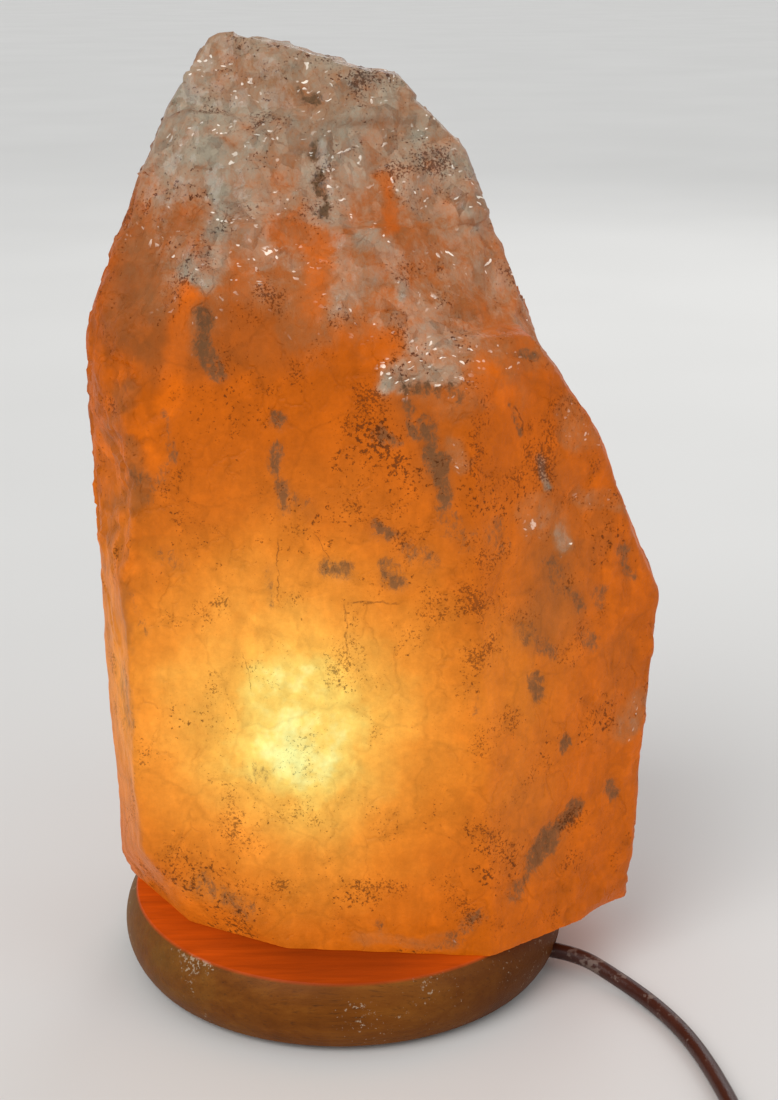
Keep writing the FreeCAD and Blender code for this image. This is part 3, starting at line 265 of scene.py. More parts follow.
def specks_group():
    """Small pits and grains that come in clusters: a mask of them."""
    group, enter, leave = new_group(
        "specks", {"Size": 500.0, "Cluster": 25.0, "Share": 0.5}, {"Mask": "Float"})
    place = place_of(group)
    fine = cloud(group, place, enter["Size"], 3.0, 0.7)
    broad = cloud(group, place, enter["Cluster"], 3.0)
    level = number(group, "SUBTRACT", total(group, fine, broad), enter["Share"])
    group.links.new(band(group, level, 0.62, 0.70), leave["Mask"])
    return group


handling_marks = wear_group()
specks = specks_group()


# ---------------------------------------------------------------- salt
# where the light starts in the crystal, how far it reaches, and how far the salt bends it aside
GLOW_HEART = (-0.011, -0.010, 0.088)
GLOW_REACH = 0.16
GLOW_DRIFT = 0.028
# the light's colours, and the salt's own colour with a painted glow that makes it paler and yellower
# near the bulb, over the share of that reach
GLOW_COLOURS = (
    (0.195, (0.86, 0.86, 0.34)), (0.209, (0.86, 0.58, 0.125)), (0.232, (0.82, 0.375, 0.055)),
    (0.30, (0.76, 0.245, 0.028)), (0.36, (0.63, 0.168, 0.014)), (0.43, (0.51, 0.112, 0.007)),
    (0.55, (0.47, 0.090, 0.002)), (0.63, (0.43, 0.078, 0.001)), (0.80, (0.35, 0.058, 0.001)),
    (1.0, (0.27, 0.054, 0.006)),
)
BODY_AND_PAINTED_GLOW_COLOURS = (
    (0.20, (0.20, 0.14, 0.030)), (0.30, (0.17, 0.070, 0.006)), (0.5, (0.13, 0.032, 0.001)),
    (0.8, (0.12, 0.030, 0.001)), (1.0, (0.15, 0.050, 0.012)),
)
# the frost's rosy and chalky colours, and a pale colour for painted glints
ROSY, CHALKY, PAINTED_GLINT = (0.205, 0.112, 0.046, 1), (0.31, 0.272, 0.195, 1), (0.90, 0.86, 0.74, 1)
# the grey of smears and stains, also used for one painted shadow; the pits' colour; and the dull salt's
# colour, also used for painted shade on the sides
GREY_SMEAR_AND_SHADOW, PIT, DULL_AND_SIDE_SHADE = (0.100, 0.062, 0.028, 1), (0.045, 0.018, 0.006, 1), (0.125, 0.064, 0.022, 1)
MIDDLE = (0.5, 0.5, 0.5)
# the salt's cleaved leaves and the splinters in them, as cells to the metre, and how they bend
LEAVES, SPLINTERS = 170.0, 420.0
LEAF_BEND = (0.007, 0.007, 0.012)
PLANE_HEIGHT = 420.0
SALT_RELIEF = 0.0014

# thin cracks on the front: x and height of both ends and half the width, in metres
HAIRLINES = (
    (0.0005, 0.1225, 0.0165, 0.1230, 0.00042), (0.0010, 0.1235, 0.0015, 0.1020, 0.00038),
    (-0.0160, 0.1400, -0.0168, 0.1200, 0.00028), (-0.0260, 0.1080, -0.0245, 0.0960, 0.00022),
    (0.0440, 0.1740, 0.0480, 0.1640, 0.00036), (-0.0010, 0.1300, -0.0070, 0.1420, 0.00020),
)
HAIRLINE_WANDER = 0.0042


def tilt_of(tree, where, cell):
    """How far each cell's own slanted plane stands out, in metres."""
    across = vectors(tree, "SUBTRACT", where, cell["Position"])
    lean = vectors(tree, "SUBTRACT", cell["Color"], MIDDLE)
    return add(tree, "VectorMath", {0: across, 1: lean}, operation="DOT_PRODUCT").outputs["Value"]


def hairlines(tree, place, ragged):
    """Thin dark cracks that cross the front: a mask of them."""
    x, y, z = axes_of(tree, place)
    wander = product(tree, total(tree, cloud(tree, place, 210.0, 4.0, 0.6), -0.5), HAIRLINE_WANDER)
    lines = []
    for x0, z0, x1, z1, half in HAIRLINES:
        run = math.hypot(x1 - x0, z1 - z0)
        over, up = (x1 - x0) / run, (z1 - z0) / run
        from_x, from_z = total(tree, x, -x0), total(tree, z, -z0)
        along = total(tree, (from_x, over), (from_z, up))
        apart = number(tree, "ABSOLUTE", total(tree, (from_x, up), (from_z, -over), wander))
        lines.append(product(tree, band(tree, apart, half, half * 0.3),
                             band(tree, along, 0.0, 0.15 * run), band(tree, along, run, 0.8 * run)))
    front = band(tree, y, -0.010, -0.020)
    return product(tree, strongest(tree, *lines), front, band(tree, ragged, 0.40, 0.52, 0.15, 0.9))


def salt_patterns(tree):
    """The random patterns that the salt's light, colour and surface follow."""
    place = place_of(tree)
    drift = add(tree, "TexNoise", {"Vector": place, "Scale": 26.0, "Detail": 5.0, "Roughness": 0.62})
    aside = vectors(tree, "SUBTRACT", drift.outputs["Color"], MIDDLE)
    moved = vectors(tree, "ADD", place, scaled(tree, aside, GLOW_DRIFT, GLOW_DRIFT, GLOW_DRIFT))
    bent = vectors(tree, "ADD", scaled(tree, place, 1.0, 1.0, 0.55), scaled(tree, aside, *LEAF_BEND))
    leaf, splinter = cells(tree, bent, LEAVES), cells(tree, bent, SPLINTERS)
    return SimpleNamespace(
        place=place, moved=moved,
        streaks=cloud(tree, scaled(tree, place, 1.0, 1.0, 0.35), 160.0, 8.0, 0.65, 0.5),
        flow=cloud(tree, place, 48.0, 8.0, 0.62, 0.9),
        grains=cloud(tree, place, 420.0, 4.0, 0.7),
        ragged=cloud(tree, scaled(tree, place, 1.0, 1.0, 0.6), 620.0, 8.0, 0.78, 0.6),
        mottle=cloud(tree, place, 150.0, 6.0, 0.66, 0.6),
        cleft=total(tree, (parts_of(tree, leaf["Color"])["Red"], 0.6),
                    (parts_of(tree, splinter["Color"])["Green"], 0.4)),
        planes=total(tree, tilt_of(tree, bent, leaf), (tilt_of(tree, bent, splinter), 0.8)))


def painted_glints(tree, salt):
    """Painted glints: small flakes coloured pale as if they caught the light, in clusters: a mask of
    them.
    """
    flake = cells(tree, scaled(tree, salt.moved, 1.0, 1.0, 1.8), 560.0)
    return product(tree, band(tree, parts_of(tree, flake["Color"])["Red"], 0.80, 0.86),
                   band(tree, flake["Distance"], 0.42, 0.30),
                   band(tree, cloud(tree, salt.place, 90.0, 3.0), 0.50, 0.58))


def salt_masks(tree, salt):
    """What lies in the salt and on it, with painted glints, a painted shadow and painted shade on the
    sides: masks from the marks that the mesh carries, made ragged.
    """
    pale, grey = attribute(tree, "frost"), attribute(tree, "stain_and_shadow")
    uneven = total(tree, (salt.ragged, 0.9), salt.mottle, -0.95)
    ruffled = product(tree, uneven, band(tree, pale, 0.1, 0.9, 0.40, 1.15))
    dense = total(tree, (salt.ragged, 0.7), (salt.mottle, 0.3), (grey, 0.24))
    fissure = cells(tree, salt.moved, 34.0, "DISTANCE_TO_EDGE")["Distance"]
    chip = cells(tree, scaled(tree, salt.moved, 1.0, 1.0, 0.55), 125.0, "DISTANCE_TO_EDGE")["Distance"]
    pits = use(tree, specks, Size=760.0, Cluster=42.0, Share=0.585)["Mask"]
    grit = use(tree, specks, Size=1500.0, Cluster=80.0, Share=0.56)["Mask"]
    return SimpleNamespace(
        frosted=product(tree, band(tree, total(tree, pale, ruffled), 0.04, 0.94),
                        band(tree, pale, 0.02, 0.15)),
        stained_and_shadowed=product(tree, band(tree, dense, 0.61, 0.74), band(tree, grey, 0.02, 0.2)),
        hazed_and_shadowed=product(tree, grey, salt.mottle, 0.60),
        dark=strongest(tree, pits, product(tree, grit, 0.8)),
        crack=band(tree, fissure, 0.0, 0.03, 1.0, 0.0),
        crazed=product(tree, band(tree, chip, 0.0, 0.07, 1.0, 0.0),
                       band(tree, cloud(tree, salt.place, 62.0, 4.0, 0.6), 0.48, 0.62)),
        hairline=hairlines(tree, salt.place, salt.ragged),
        painted_glint=product(tree, painted_glints(tree, salt), band(tree, pale, 0.12, 0.4)),
        lit=attribute(tree, "vein"), dull_and_side_shade=attribute(tree, "dull_and_side_shade"))


# how much of the light each mask leaves where it is full
LIGHT_LEFT = {"frosted": 0.10, "stained_and_shadowed": 0.36, "hazed_and_shadowed": 0.5, "dark": 0.35, "crack": 0.86, "lit": 1.45,
              "dull_and_side_shade": 0.58, "hairline": 0.5, "crazed": 0.86}


def salt_light(tree, salt, mask, facet, share):
    """The light that comes out of the salt, with painted shade in the facets' hollows, on faces turned
    to the sides and in one shadow, and painted light on the facets' ridges.
    """
    shade = product(tree, band(tree, salt.streaks, 0.25, 0.75, 0.84, 1.14),
                    band(tree, salt.flow, 0.3, 0.7, 0.86, 1.12),
                    band(tree, salt.grains, 0.3, 0.7, 0.88, 1.10),
                    # painted light and shade: the glow brighter on the facets' ridges and darker in
                    # their hollows
                    band(tree, attribute(tree, "facet_relief_shade"), -0.6, 0.6, 0.80, 1.18),
                    *(band(tree, getattr(mask, name), 0.0, 1.0, 1.0, left)
                      for name, left in LIGHT_LEFT.items()),
                    total(tree, (facet, 0.65), 1.0))
    return dimmed(tree, ramp(tree, share, GLOW_COLOURS), shade)


def salt_colour(tree, mask, facet, share):
    """The salt's own colour, with painted glow near the bulb, painted glints, painted shade and one
    painted shadow, and what lies in it and on it.
    """
    chalk = band(tree, total(tree, mask.frosted, (facet, 0.30)), 0.30, 0.88)
    frost = dimmed(tree, blended(tree, chalk, ROSY, CHALKY), total(tree, (facet, 0.28), 0.97))
    # painted glow and painted shade: the salt's colour paler and yellower near the bulb, and the dull
    # colour also on faces turned to the sides
    colour = blended(tree, product(tree, mask.dull_and_side_shade, 0.7), ramp(tree, share, BODY_AND_PAINTED_GLOW_COLOURS), DULL_AND_SIDE_SHADE)
    colour = blended(tree, band(tree, mask.frosted, 0.0, 0.45), colour, frost)
    # stains and smears, and one painted shadow, in grey
    colour = blended(tree, total(tree, mask.stained_and_shadowed, mask.hazed_and_shadowed), colour, GREY_SMEAR_AND_SHADOW)
    colour = blended(tree, strongest(tree, mask.dark, mask.hairline), colour, PIT)
    # painted glints: pale specks in the colour that stand in for highlights
    return blended(tree, mask.painted_glint, colour, PAINTED_GLINT)


def salt_finish():
    """Cleaved orange rock salt lit from inside: the light fades and reddens away from the bulb, frost
    covers it on the broken faces, and brown specks and smears lie in it. Its colour and glow also hold
    painted glints, painted glow near the bulb, painted shade on its sides and in its facets' hollows,
    and one painted shadow."""
    material, tree = new_finish("salt", Emission_Strength=1.0, IOR=1.54, Specular_IOR_Level=0.08,
                                Coat_Roughness=0.10, Coat_IOR=1.5)
    salt = salt_patterns(tree)
    mask = salt_masks(tree, salt)
    reach = length_of(tree, vectors(tree, "SUBTRACT", salt.moved, GLOW_HEART))
    share = number(tree, "DIVIDE", reach, GLOW_REACH)
    broken = total(tree, (mask.frosted, 0.9), 0.16)
    facet = product(tree, total(tree, salt.cleft, -0.5), broken)
    height = total(tree, (salt.streaks, 0.6), (salt.planes, PLANE_HEIGHT, broken), (salt.grains, 0.35),
                   (mask.crazed, -0.3), (facet, 0.9), (mask.dark, -0.5))
    feed(tree, Base_Color=salt_colour(tree, mask, facet, share),
         Emission_Color=salt_light(tree, salt, mask, facet, share),
         Roughness=total(tree, band(tree, salt.flow, 0.3, 0.7, 0.36, 0.52), (mask.dark, 0.2)),
         Coat_Weight=band(tree, mask.frosted, 0.2, 0.8, 0.01, 0.4),
         Normal=bump(tree, height, SALT_RELIEF, 0.9))
    return material


# ---------------------------------------------------------------- wood and the small finishes
WOOD_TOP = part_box("wooden_base")[1].z
WOOD_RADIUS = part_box("wooden_base")[1].x
WOOD_COLOURS = ((0.30, (0.095, 0.025, 0.003)), (0.5, (0.18, 0.052, 0.005)), (0.7, (0.27, 0.092, 0.011)))
# pores, the olive tone on the left, and a painted shade colour for the right end
PORE, OLIVE, PAINTED_SHADE = (0.05, 0.018, 0.006, 1), (0.12, 0.072, 0.012, 1), (0.075, 0.020, 0.003, 1)
# salt dust, and a red painted light colour for the top face
SALT_DUST, PAINTED_TOP_LIGHT = (0.52, 0.42, 0.30, 1), (0.16, 0.022, 0.002, 1)
# painted light: a red glow for the top face, as if spilt from the crystal
PAINTED_SPILT_LIGHT = (0.30, 0.036, 0.001)
WOOD_RELIEF = 0.0004


def wood_finish():
    """Turned hardwood under a thin worn varnish: olive on its left, with painted shade on its right,
    dusted with salt, and with painted light on its top, a red colour and a red glow as if the crystal's
    light fell there."""
    material, tree = new_finish("wood", Emission_Strength=1.0, Coat_Roughness=0.3,
                                Specular_IOR_Level=0.07)
    place = place_of(tree)
    x, _, z = axes_of(tree, place)
    along = scaled(tree, place, 0.10, 1.0, 1.0)
    grain = cloud(tree, along, 330.0, 6.0, 0.65, 0.3)
    pores = cloud(tree, along, 1700.0, 3.0, 0.7)
    blotch = cloud(tree, place, 42.0, 5.0, 0.6, 0.4)
    dust = use(tree, specks, Size=800.0, Cluster=36.0, Share=0.58)["Mask"]
    on_top = band(tree, z, WOOD_TOP - 0.0008, WOOD_TOP - 0.0001)
    on_left = product(tree, band(tree, x, -0.02, -0.058), band(tree, blotch, 0.36, 0.58))
    wood = ramp(tree, total(tree, (grain, 0.45), (blotch, 0.55)), WOOD_COLOURS)
    for share, colour in ((band(tree, pores, 0.56, 0.72, 0.0, 0.6), PORE),
                          (product(tree, on_left, 0.55), OLIVE),
                          # painted shade: the wood made darker towards its right end
                          (band(tree, x, 0.010, 0.055, 0.0, 0.8), PAINTED_SHADE),
                          (product(tree, dust, 0.6), SALT_DUST),
                          # painted light: the top face takes the red lit colour
                          (on_top, PAINTED_TOP_LIGHT)):
        wood = blended(tree, share, wood, colour)
    from_axis = length_of(tree, scaled(tree, place, 1, 1, 0))
    # painted light: the top glows brighter towards the rim and the ends
    painted_spill = product(tree, on_top,
                    band(tree, from_axis, 0.030, WOOD_RADIUS - 0.006, 0.15, 1.0),
                    band(tree, grain, 0.3, 0.7, 0.55, 1.1),
                    band(tree, number(tree, "ABSOLUTE", x), 0.012, 0.038, 0.82, 1.5))
    feed(tree, Base_Color=wood, Emission_Color=dimmed(tree, PAINTED_SPILT_LIGHT, painted_spill),
         Coat_Weight=band(tree, blotch, 0.35, 0.65, 0.0, 0.06),
         Roughness=band(tree, blotch, 0.3, 0.7, 0.40, 0.58),
         Normal=bump(tree, total(tree, (grain, 0.4), (pores, -0.5)), WOOD_RELIEF, 0.7))
    return material


def marked_finish(name, colour, worn, smooth, rough, depth=0.00006, **sockets):
    """A plain finish with handling marks and a fine surface."""
    material, tree = new_finish(name, **sockets)
    marks = use(tree, handling_marks, Colour=(*colour, 1), Worn=(*worn, 1), Scale=60.0, Amount=0.35,
                Smooth=smooth, Rough=rough, Grain=1500.0)
    feed(tree, Base_Color=marks["Colour"], Roughness=marks["Roughness"],
         Normal=bump(tree, marks["Height"], depth))
    return material


COVERING, WORN_COVERING = (0.048, 0.014, 0.009, 1), (0.085, 0.028, 0.018, 1)
DRIED_SALT = (0.42, 0.33, 0.27, 1)
CORD_RELIEF = 0.00012


def cord_finish():
    """Dark brown flexible covering with a half gloss and smears of dried salt."""
    material, tree = new_finish("cord", Specular_IOR_Level=0.3)
    smear = use(tree, specks, Size=260.0, Cluster=18.0, Share=0.55)["Mask"]
    film = product(tree, smear, 0.3)
    marks = use(tree, handling_marks, Colour=COVERING, Worn=WORN_COVERING, Scale=90.0, Amount=0.5,
                Smooth=0.28, Rough=0.45, Grain=2200.0)
    ripple = cloud(tree, place_of(tree), 180.0, 2.0)
    feed(tree, Base_Color=blended(tree, film, marks["Colour"], DRIED_SALT),
         Roughness=total(tree, marks["Roughness"], (film, 0.6)),
         Normal=bump(tree, total(tree, marks["Height"], ripple), CORD_RELIEF))
    return material


def glass_finish():
    """Clear blown glass."""
    material, tree = new_finish("bulb_glass", Transmission_Weight=1.0, IOR=1.5, Roughness=0.02)
    haze = cloud(tree, place_of(tree), 120.0, 3.0)
    colour = ramp(tree, haze, ((0.3, (0.97, 0.95, 0.91)), (0.7, (1.0, 0.99, 0.97))))
    feed(tree, Base_Color=colour, Roughness=band(tree, haze, 0.4, 0.7, 0.01, 0.05))
    return material


def filament_finish():
    """Tungsten wire, white hot along its middle."""
    material, tree = new_finish("filament", Metallic=1.0, Roughness=0.5, Emission_Strength=6.0)
    heat = cloud(tree, place_of(tree), 300.0, 2.0)
    feed(tree, Base_Color=ramp(tree, heat, ((0.3, (0.3, 0.28, 0.25)), (0.7, (0.45, 0.42, 0.4)))),
         Emission_Color=ramp(tree, heat, ((0.3, (1.0, 0.45, 0.12)), (0.7, (1.0, 0.62, 0.25)))))
    return material


METAL = {"Metallic": 1.0}
# by slot: colour, worn colour, least and most roughness, and what else the finish sets
MARKED_FINISHES = {
    "rubber": ((0.035, 0.034, 0.033), (0.09, 0.085, 0.08), 0.6, 0.85, {}),
    "steel": ((0.56, 0.56, 0.55), (0.40, 0.38, 0.35), 0.25, 0.45, METAL),
    "spring_steel": ((0.52, 0.53, 0.55), (0.33, 0.31, 0.29), 0.2, 0.4, METAL),
    "brass": ((0.72, 0.52, 0.22), (0.45, 0.29, 0.12), 0.2, 0.45, METAL),
    "holder": ((0.030, 0.026, 0.024), (0.07, 0.062, 0.055), 0.25, 0.45, {}),
    "moulding": ((0.075, 0.034, 0.024), (0.14, 0.075, 0.055), 0.28, 0.45, {"depth": 0.0001}),
    "sleeve": ((0.062, 0.028, 0.020), (0.12, 0.065, 0.048), 0.4, 0.6, {}),
    "board": ((0.24, 0.16, 0.06), (0.16, 0.10, 0.04), 0.4, 0.6, {}),
    "control": ((0.045, 0.045, 0.05), (0.10, 0.10, 0.10), 0.3, 0.5, {}),
    "bulb_metal": ((0.66, 0.65, 0.62), (0.42, 0.40, 0.37), 0.25, 0.45, METAL),
    "insulator": ((0.02, 0.02, 0.028), (0.05, 0.05, 0.06), 0.1, 0.2, {}),
}


def finishes():
    """Every finish, by the record's material slot."""
    found = {"salt": salt_finish(), "wood": wood_finish(), "cord": cord_finish(),
             "bulb_glass": glass_finish(), "filament": filament_finish()}
    for name, (colour, worn, smooth, rough, sockets) in MARKED_FINISHES.items():
        found[name] = marked_finish(name, colour, worn, smooth, rough, **sockets)
    return found


finish_of = finishes()
slot_of = {row["node"]: row["material_slot"] for row in frame["record"]["subparts"]}


def dress_nodes():
    """Gives every CAD node the finish of its own slot."""
    for name, thing in nodes.items():
        for place in thing.material_slots:
            place.material = finish_of[slot_of[name]]


def new_piece(name, data, slot, body):
    """A finished piece, riding on its body."""
    data.materials.append(finish_of[slot])
    piece = bpy.data.objects.new(name, data)
    scene.collection.objects.link(piece)
    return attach(piece, body)


# ---------------------------------------------------------------- cords
CORD_ROUNDNESS, CORD_SMOOTHNESS, SPLINE_ORDER = 4, 5, 3
LEAVES_AT = math.radians(-18.5)
# the cord's radius, its mouth and the splines' control points, in millimetres. The run inside the
# base is in the groove's own frame, the others are in the lamp's.
CORD_RADIUS = 2.25
MOUTH = (58.80, -19.67, 6.0)
BASE_RUN = ((0, 0, 25.5), (0, 0, 21.6), (0, 0, 12.4), (6.4, 0, 6), (15.6, 0, 6), (40, 0, 6), (62, 0, 6))
LEAD = (
    MOUTH, (67.81, -22.69, 6), (77.5, -31.5, 3.6), (86.6, -43.5, 2.25), (93.2, -59.0, 2.25),
    (97.2, -77.5, 2.25), (99.6, -99.0, 2.25), (102.6, -122.0, 2.25), (104.8, -145.0, 2.25),
    (105.7, -164.0, 2.25), (105.4, -180.0, 2.35), (104.8, -192.7, 3.25), (98.7, -204.1, 5.45),
    (88.25, -211.11, 8), (75.78, -211.98, 8),
)
TAIL = (
    (-21.98, -218.82, 8), (-34.45, -219.69, 8), (-46.3, -213.2, 5.45), (-53.4, -201.4, 3.25),
    (-54.9, -186.6, 2.35), (-54.15, -173.0, 2.25), (-54.15, -160.5, 2.25),
)
PLUG_END = (
    (-9.7, -119, 7.35), (1.0, -119, 7.35), (12.9, -113.6, 6.35), (25.2, -106.8, 4.65),
    (37.4, -101.0, 2.95), (50.4, -101.5, 2.25), (61.7, -108.0, 2.95), (68.54, -118.56, 6.5),
    (69.19, -131.05, 6.5),
)
# the coil, in millimetres and half turns, as the CAD coil is wound
COIL_CENTRE = Vector((-15.0, -156.0, CORD_RADIUS))
COIL_INNER_RADIUS = 18.5
COIL_STEP = 2.95
HALF_TURNS_IN, HALF_TURNS_OUT = 7, 6
COIL_RISE = 5.1
COIL_EXIT_RADIUS = 37.0
POINTS_PER_HALF_TURN = 8


def turn_points(centre, radius, sweep, count, side, rise=0.0):
    """Control points of a clockwise turn, set so that the spline runs at its radius."""
    step = sweep / count
    stand = radius / math.cos(step / 2)
    points = []
    for i in range(count):
        angle = (i + 0.5) * step
        points.append(centre + Vector((side * stand * math.cos(angle), -side * stand * math.sin(angle),
                                       rise * (1 - math.cos(angle)) / 2)))
    return points


def coil_points():
    """Half turns inward, one that climbs to the second layer, half turns outward and a quarter
    turn out, as the CAD coil is wound."""
    radii = [COIL_INNER_RADIUS + COIL_STEP * i for i in range(HALF_TURNS_IN, -1, -1)]
    radii += [COIL_INNER_RADIUS + COIL_STEP * i for i in range(HALF_TURNS_OUT + 1)]
    side = -1
    point = COIL_CENTRE + Vector((side * radii[0], 0, 0))
    points = []
    for i in range(len(radii) - 1):
        rise = COIL_RISE if i == HALF_TURNS_IN else 0.0
        target = Vector((COIL_CENTRE.x - side * radii[i + 1], COIL_CENTRE.y, point.z + rise))
        middle = Vector(((point.x + target.x) / 2, COIL_CENTRE.y, point.z))
        radius = abs(point.x - target.x) / 2
        points += turn_points(middle, radius, math.pi, POINTS_PER_HALF_TURN, side, rise)
        point, side = target, -side
    hub = point + Vector((COIL_EXIT_RADIUS, 0, 0))
    quarter = POINTS_PER_HALF_TURN // 2
    return points + turn_points(hub, COIL_EXIT_RADIUS, math.pi / 2, quarter, -1)


def cord_piece(name, route, replaced):
    """A stretch of cord on a smooth spline through the route, in millimetres."""
    curve = bpy.data.curves.new(name, "CURVE")
    curve.dimensions = "3D"
    curve.bevel_depth = CORD_RADIUS * MM
    curve.bevel_resolution = CORD_ROUNDNESS
    curve.resolution_u = CORD_SMOOTHNESS
    curve.use_fill_caps = True
    spline = curve.splines.new("NURBS")
    spline.points.add(len(route) - 1)
    for point, spot in zip(spline.points, route):
        point.co = (*(Vector(spot) * MM), 1)
    spline.order_u = SPLINE_ORDER
    spline.use_endpoint_u = True
    piece = new_piece(name, curve, "cord", "cord_set")
    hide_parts(*replaced)
    return piece


def cords():
    """The run inside the base, the lead to the dimmer, and the spare cord with its plug."""
    run = [Matrix.Rotation(LEAVES_AT, 3, "Z") @ Vector(spot) for spot in BASE_RUN]
    cord_piece("cord_in_base", run, ["cord_base_run"])
    lead = cord_piece("cord_to_dimmer", LEAD, ["cord_lead"])
    spare = cord_piece("cord_to_plug", [*TAIL, *coil_points(), *PLUG_END],
                       ["cord_tail", "cord_coil", "cord_plug_end"])


# ---------------------------------------------------------------- crystal
VOXEL = 0.0012
MERGE_DISTANCE = 1e-5
ROUNDS_OF_SMOOTHING = 4
SHARP_EDGE = math.radians(32)
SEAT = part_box("salt_crystal")[0].z
CAVITY_RADIUS, CAVITY_TOP = 0.0268, 0.1262

# where the broken crown begins on the front, x and height in millimetres
CROWN_LINE = ((-90, 207), (-62, 203), (-40, 203), (-25, 203), (0, 197), (15, 187), (30, 179), (48, 186),
              (95, 196))
# marks on the front: x and height of both ends, radius and strength, in millimetres
FROST_MARKS = (
    (-39, 246, -23, 239, 5.5, 0.95), (-37, 240, -31, 228, 7, 1.0), (-22, 239, -6, 236, 6, 0.8),
    (-31, 230, -6, 226, 6, 0.75), (-29, 222, -33, 207, 4.5, 0.75), (-25, 223, -19, 216, 6, 0.55),
    (7, 214, 13, 206, 3.6, 0.8), (13, 206, 17, 202, 2.4, 0.7), (13, 184, 28, 182, 4.0, 0.75),
    (20, 190, 27, 191, 5, 0.7), (18, 225, 28, 226, 5, 0.75), (28, 222, 34, 216, 6, 0.75),
    (36, 206, 40, 198, 6, 0.6), (-39, 249, -30, 263, 3.5, 0.8), (-8, 257, 14, 249, 6, 0.8),
    (14, 246, 22, 240, 5, 0.75), (52, 158, 54, 151, 1.6, 0.6), (57, 137, 60, 133, 2.6, 0.5),
    (50, 145, 54, 140, 4.5, 0.3), (28, 165, 31, 161, 3.0, 0.3), (82, 81, 81, 76, 4.5, 0.35),
    (63, 145, 76, 140, 3.2, 0.3), (3, 25, 30, 25, 2.6, 0.25), (60, 170, 66, 160, 3.5, 0.3),
)
VEIN_MARKS = (
    (-35, 203, -38, 193, 2.6, 1.0), (-38, 193, -42, 183, 3.8, 1.0), (-42, 183, -43, 174, 3.2, 1.0),
    (-11, 217, -5, 212, 4.5, 0.55), (-5, 212, -5, 202, 4.5, 0.65), (10, 228, 13, 217, 2.0, 0.7),
    (4, 194, 10, 190, 4.5, 0.35), (36, 182, 42, 176, 4, 0.6), (-50, 167, -48, 158, 4, 0.5),
    (-60, 187, -56, 178, 4, 0.35), (-26, 254, -8, 245, 5, 0.30), (12, 234, 20, 220, 6, 0.12),
    (28, 214, 34, 200, 8, 0.20), (-59, 170, -62, 150, 4, 0.35), (-13, 230, -16, 226, 3, 0.3),
)
STAIN_AND_SHADOW_MARKS = (
    (-6, 235, -6, 233, 1.5, 1.0), (-5, 229, -4, 225, 1.9, 1.0), (-3, 222, -3, 221, 1.2, 0.9),
    (-10, 249, -5, 246, 1.8, 0.8), (-34, 198, -34, 189, 2.4, 0.95), (-34, 189, -31, 182, 2.4, 0.9),
    # the mark from (16, 180) to (29, 178) is a painted shadow under the frost patch above it; the rest
    # are stains
    (16, 180, 29, 178, 2.2, 0.8), (17, 175, 18, 167, 1.9, 0.9), (22, 170, 23, 162, 2.6, 1.0),
    (25, 161, 26, 150, 3.0, 1.0), (10, 167, 12, 165, 2.4, 0.9), (9, 143, 12, 141, 2.5, 1.0),
    (-4, 131, 0, 131, 2.6, 0.95), (12, 130, 14, 128, 2.4, 0.9), (-16, 163, -16, 157, 1.8, 0.95),
    (-12, 150, -8, 148, 2.6, 0.45), (-19, 131, -19, 121, 1.6, 0.55), (1, 112, 3, 104, 2.0, 0.5),
    (-46, 133, -43, 132, 2.8, 0.5), (-53, 155, -49, 152, 3.6, 0.45),
    (-16, 172, -16, 169, 1.7, 0.9), (-15, 154, -15, 147, 2.0, 0.9),
    (-44, 172, -43, 160, 1.3, 0.7), (-44, 160, -50, 148, 1.3, 0.6), (-58, 168, -56, 164, 3, 0.4),
    (-55, 122, -52, 112, 1.2, 0.5), (-60, 96, -58, 86, 2.8, 0.55), (-39, 40, -28, 33, 4.0, 0.6),
    (-24, 74, -20, 72, 3.4, 0.5), (28, 145, 32, 140, 4.0, 0.5), (39, 142, 41, 137, 3.2, 0.5),
    (17, 137, 22, 134, 3.2, 0.5), (12, 133, 16, 129, 2.4, 0.6), (57, 128, 59, 120, 3.2, 0.6),
    (49, 113, 52, 108, 3.0, 0.65), (54, 106, 57, 103, 2.6, 0.7), (71, 117, 71, 113, 2.4, 0.7),
    (63, 118, 65, 114, 2.2, 0.65), (67, 107, 69, 103, 2.8, 0.7), (78, 127, 80, 118, 1.9, 0.8),
    (44, 174, 47, 166, 0.9, 0.8), (47, 186, 50, 184, 1.6, 0.8), (65, 56, 58, 50, 3.2, 1.0),
    (58, 50, 53, 44, 3.8, 1.0), (49, 39, 47, 36, 3.0, 0.8), (36, 34, 34, 31, 2.6, 0.7),
    (61, 79, 61, 74, 1.5, 1.0), (51, 97, 53, 93, 2.2, 0.9), (75, 60, 77, 57, 1.8, 0.9),
    (9, 30, 10, 28, 1.8, 0.7), (31, 27, 27, 25, 2.6, 0.6), (33, 100, 36, 92, 1.6, 0.4),
)
DULL_MARKS = (
    (-50, 206, -49, 192, 9, 0.9), (-55, 178, -58, 166, 3, 0.9), (-61, 164, -57, 150, 2.4, 0.9),
    (-51, 164, -54, 148, 2.4, 0.9), (-58, 146, -61, 134, 2.4, 0.8), (-56, 122, -58, 104, 1.8, 0.7),
    (57, 150, 58, 134, 8, 0.45), (29, 210, 33, 202, 8, 0.6), (58, 130, 57, 114, 9, 0.8),
    (70, 138, 68, 128, 5, 0.5), (-34, 190, -14, 193, 9, 0.55), (18, 174, 24, 158, 8, 0.4),
    (-20, 252, -6, 246, 7, 0.5), (78, 96, 76, 74, 7, 0.35), (50, 60, 56, 44, 9, 0.35),
)
FRONT = -1.0  # the side of the Y axis that the marks lie on
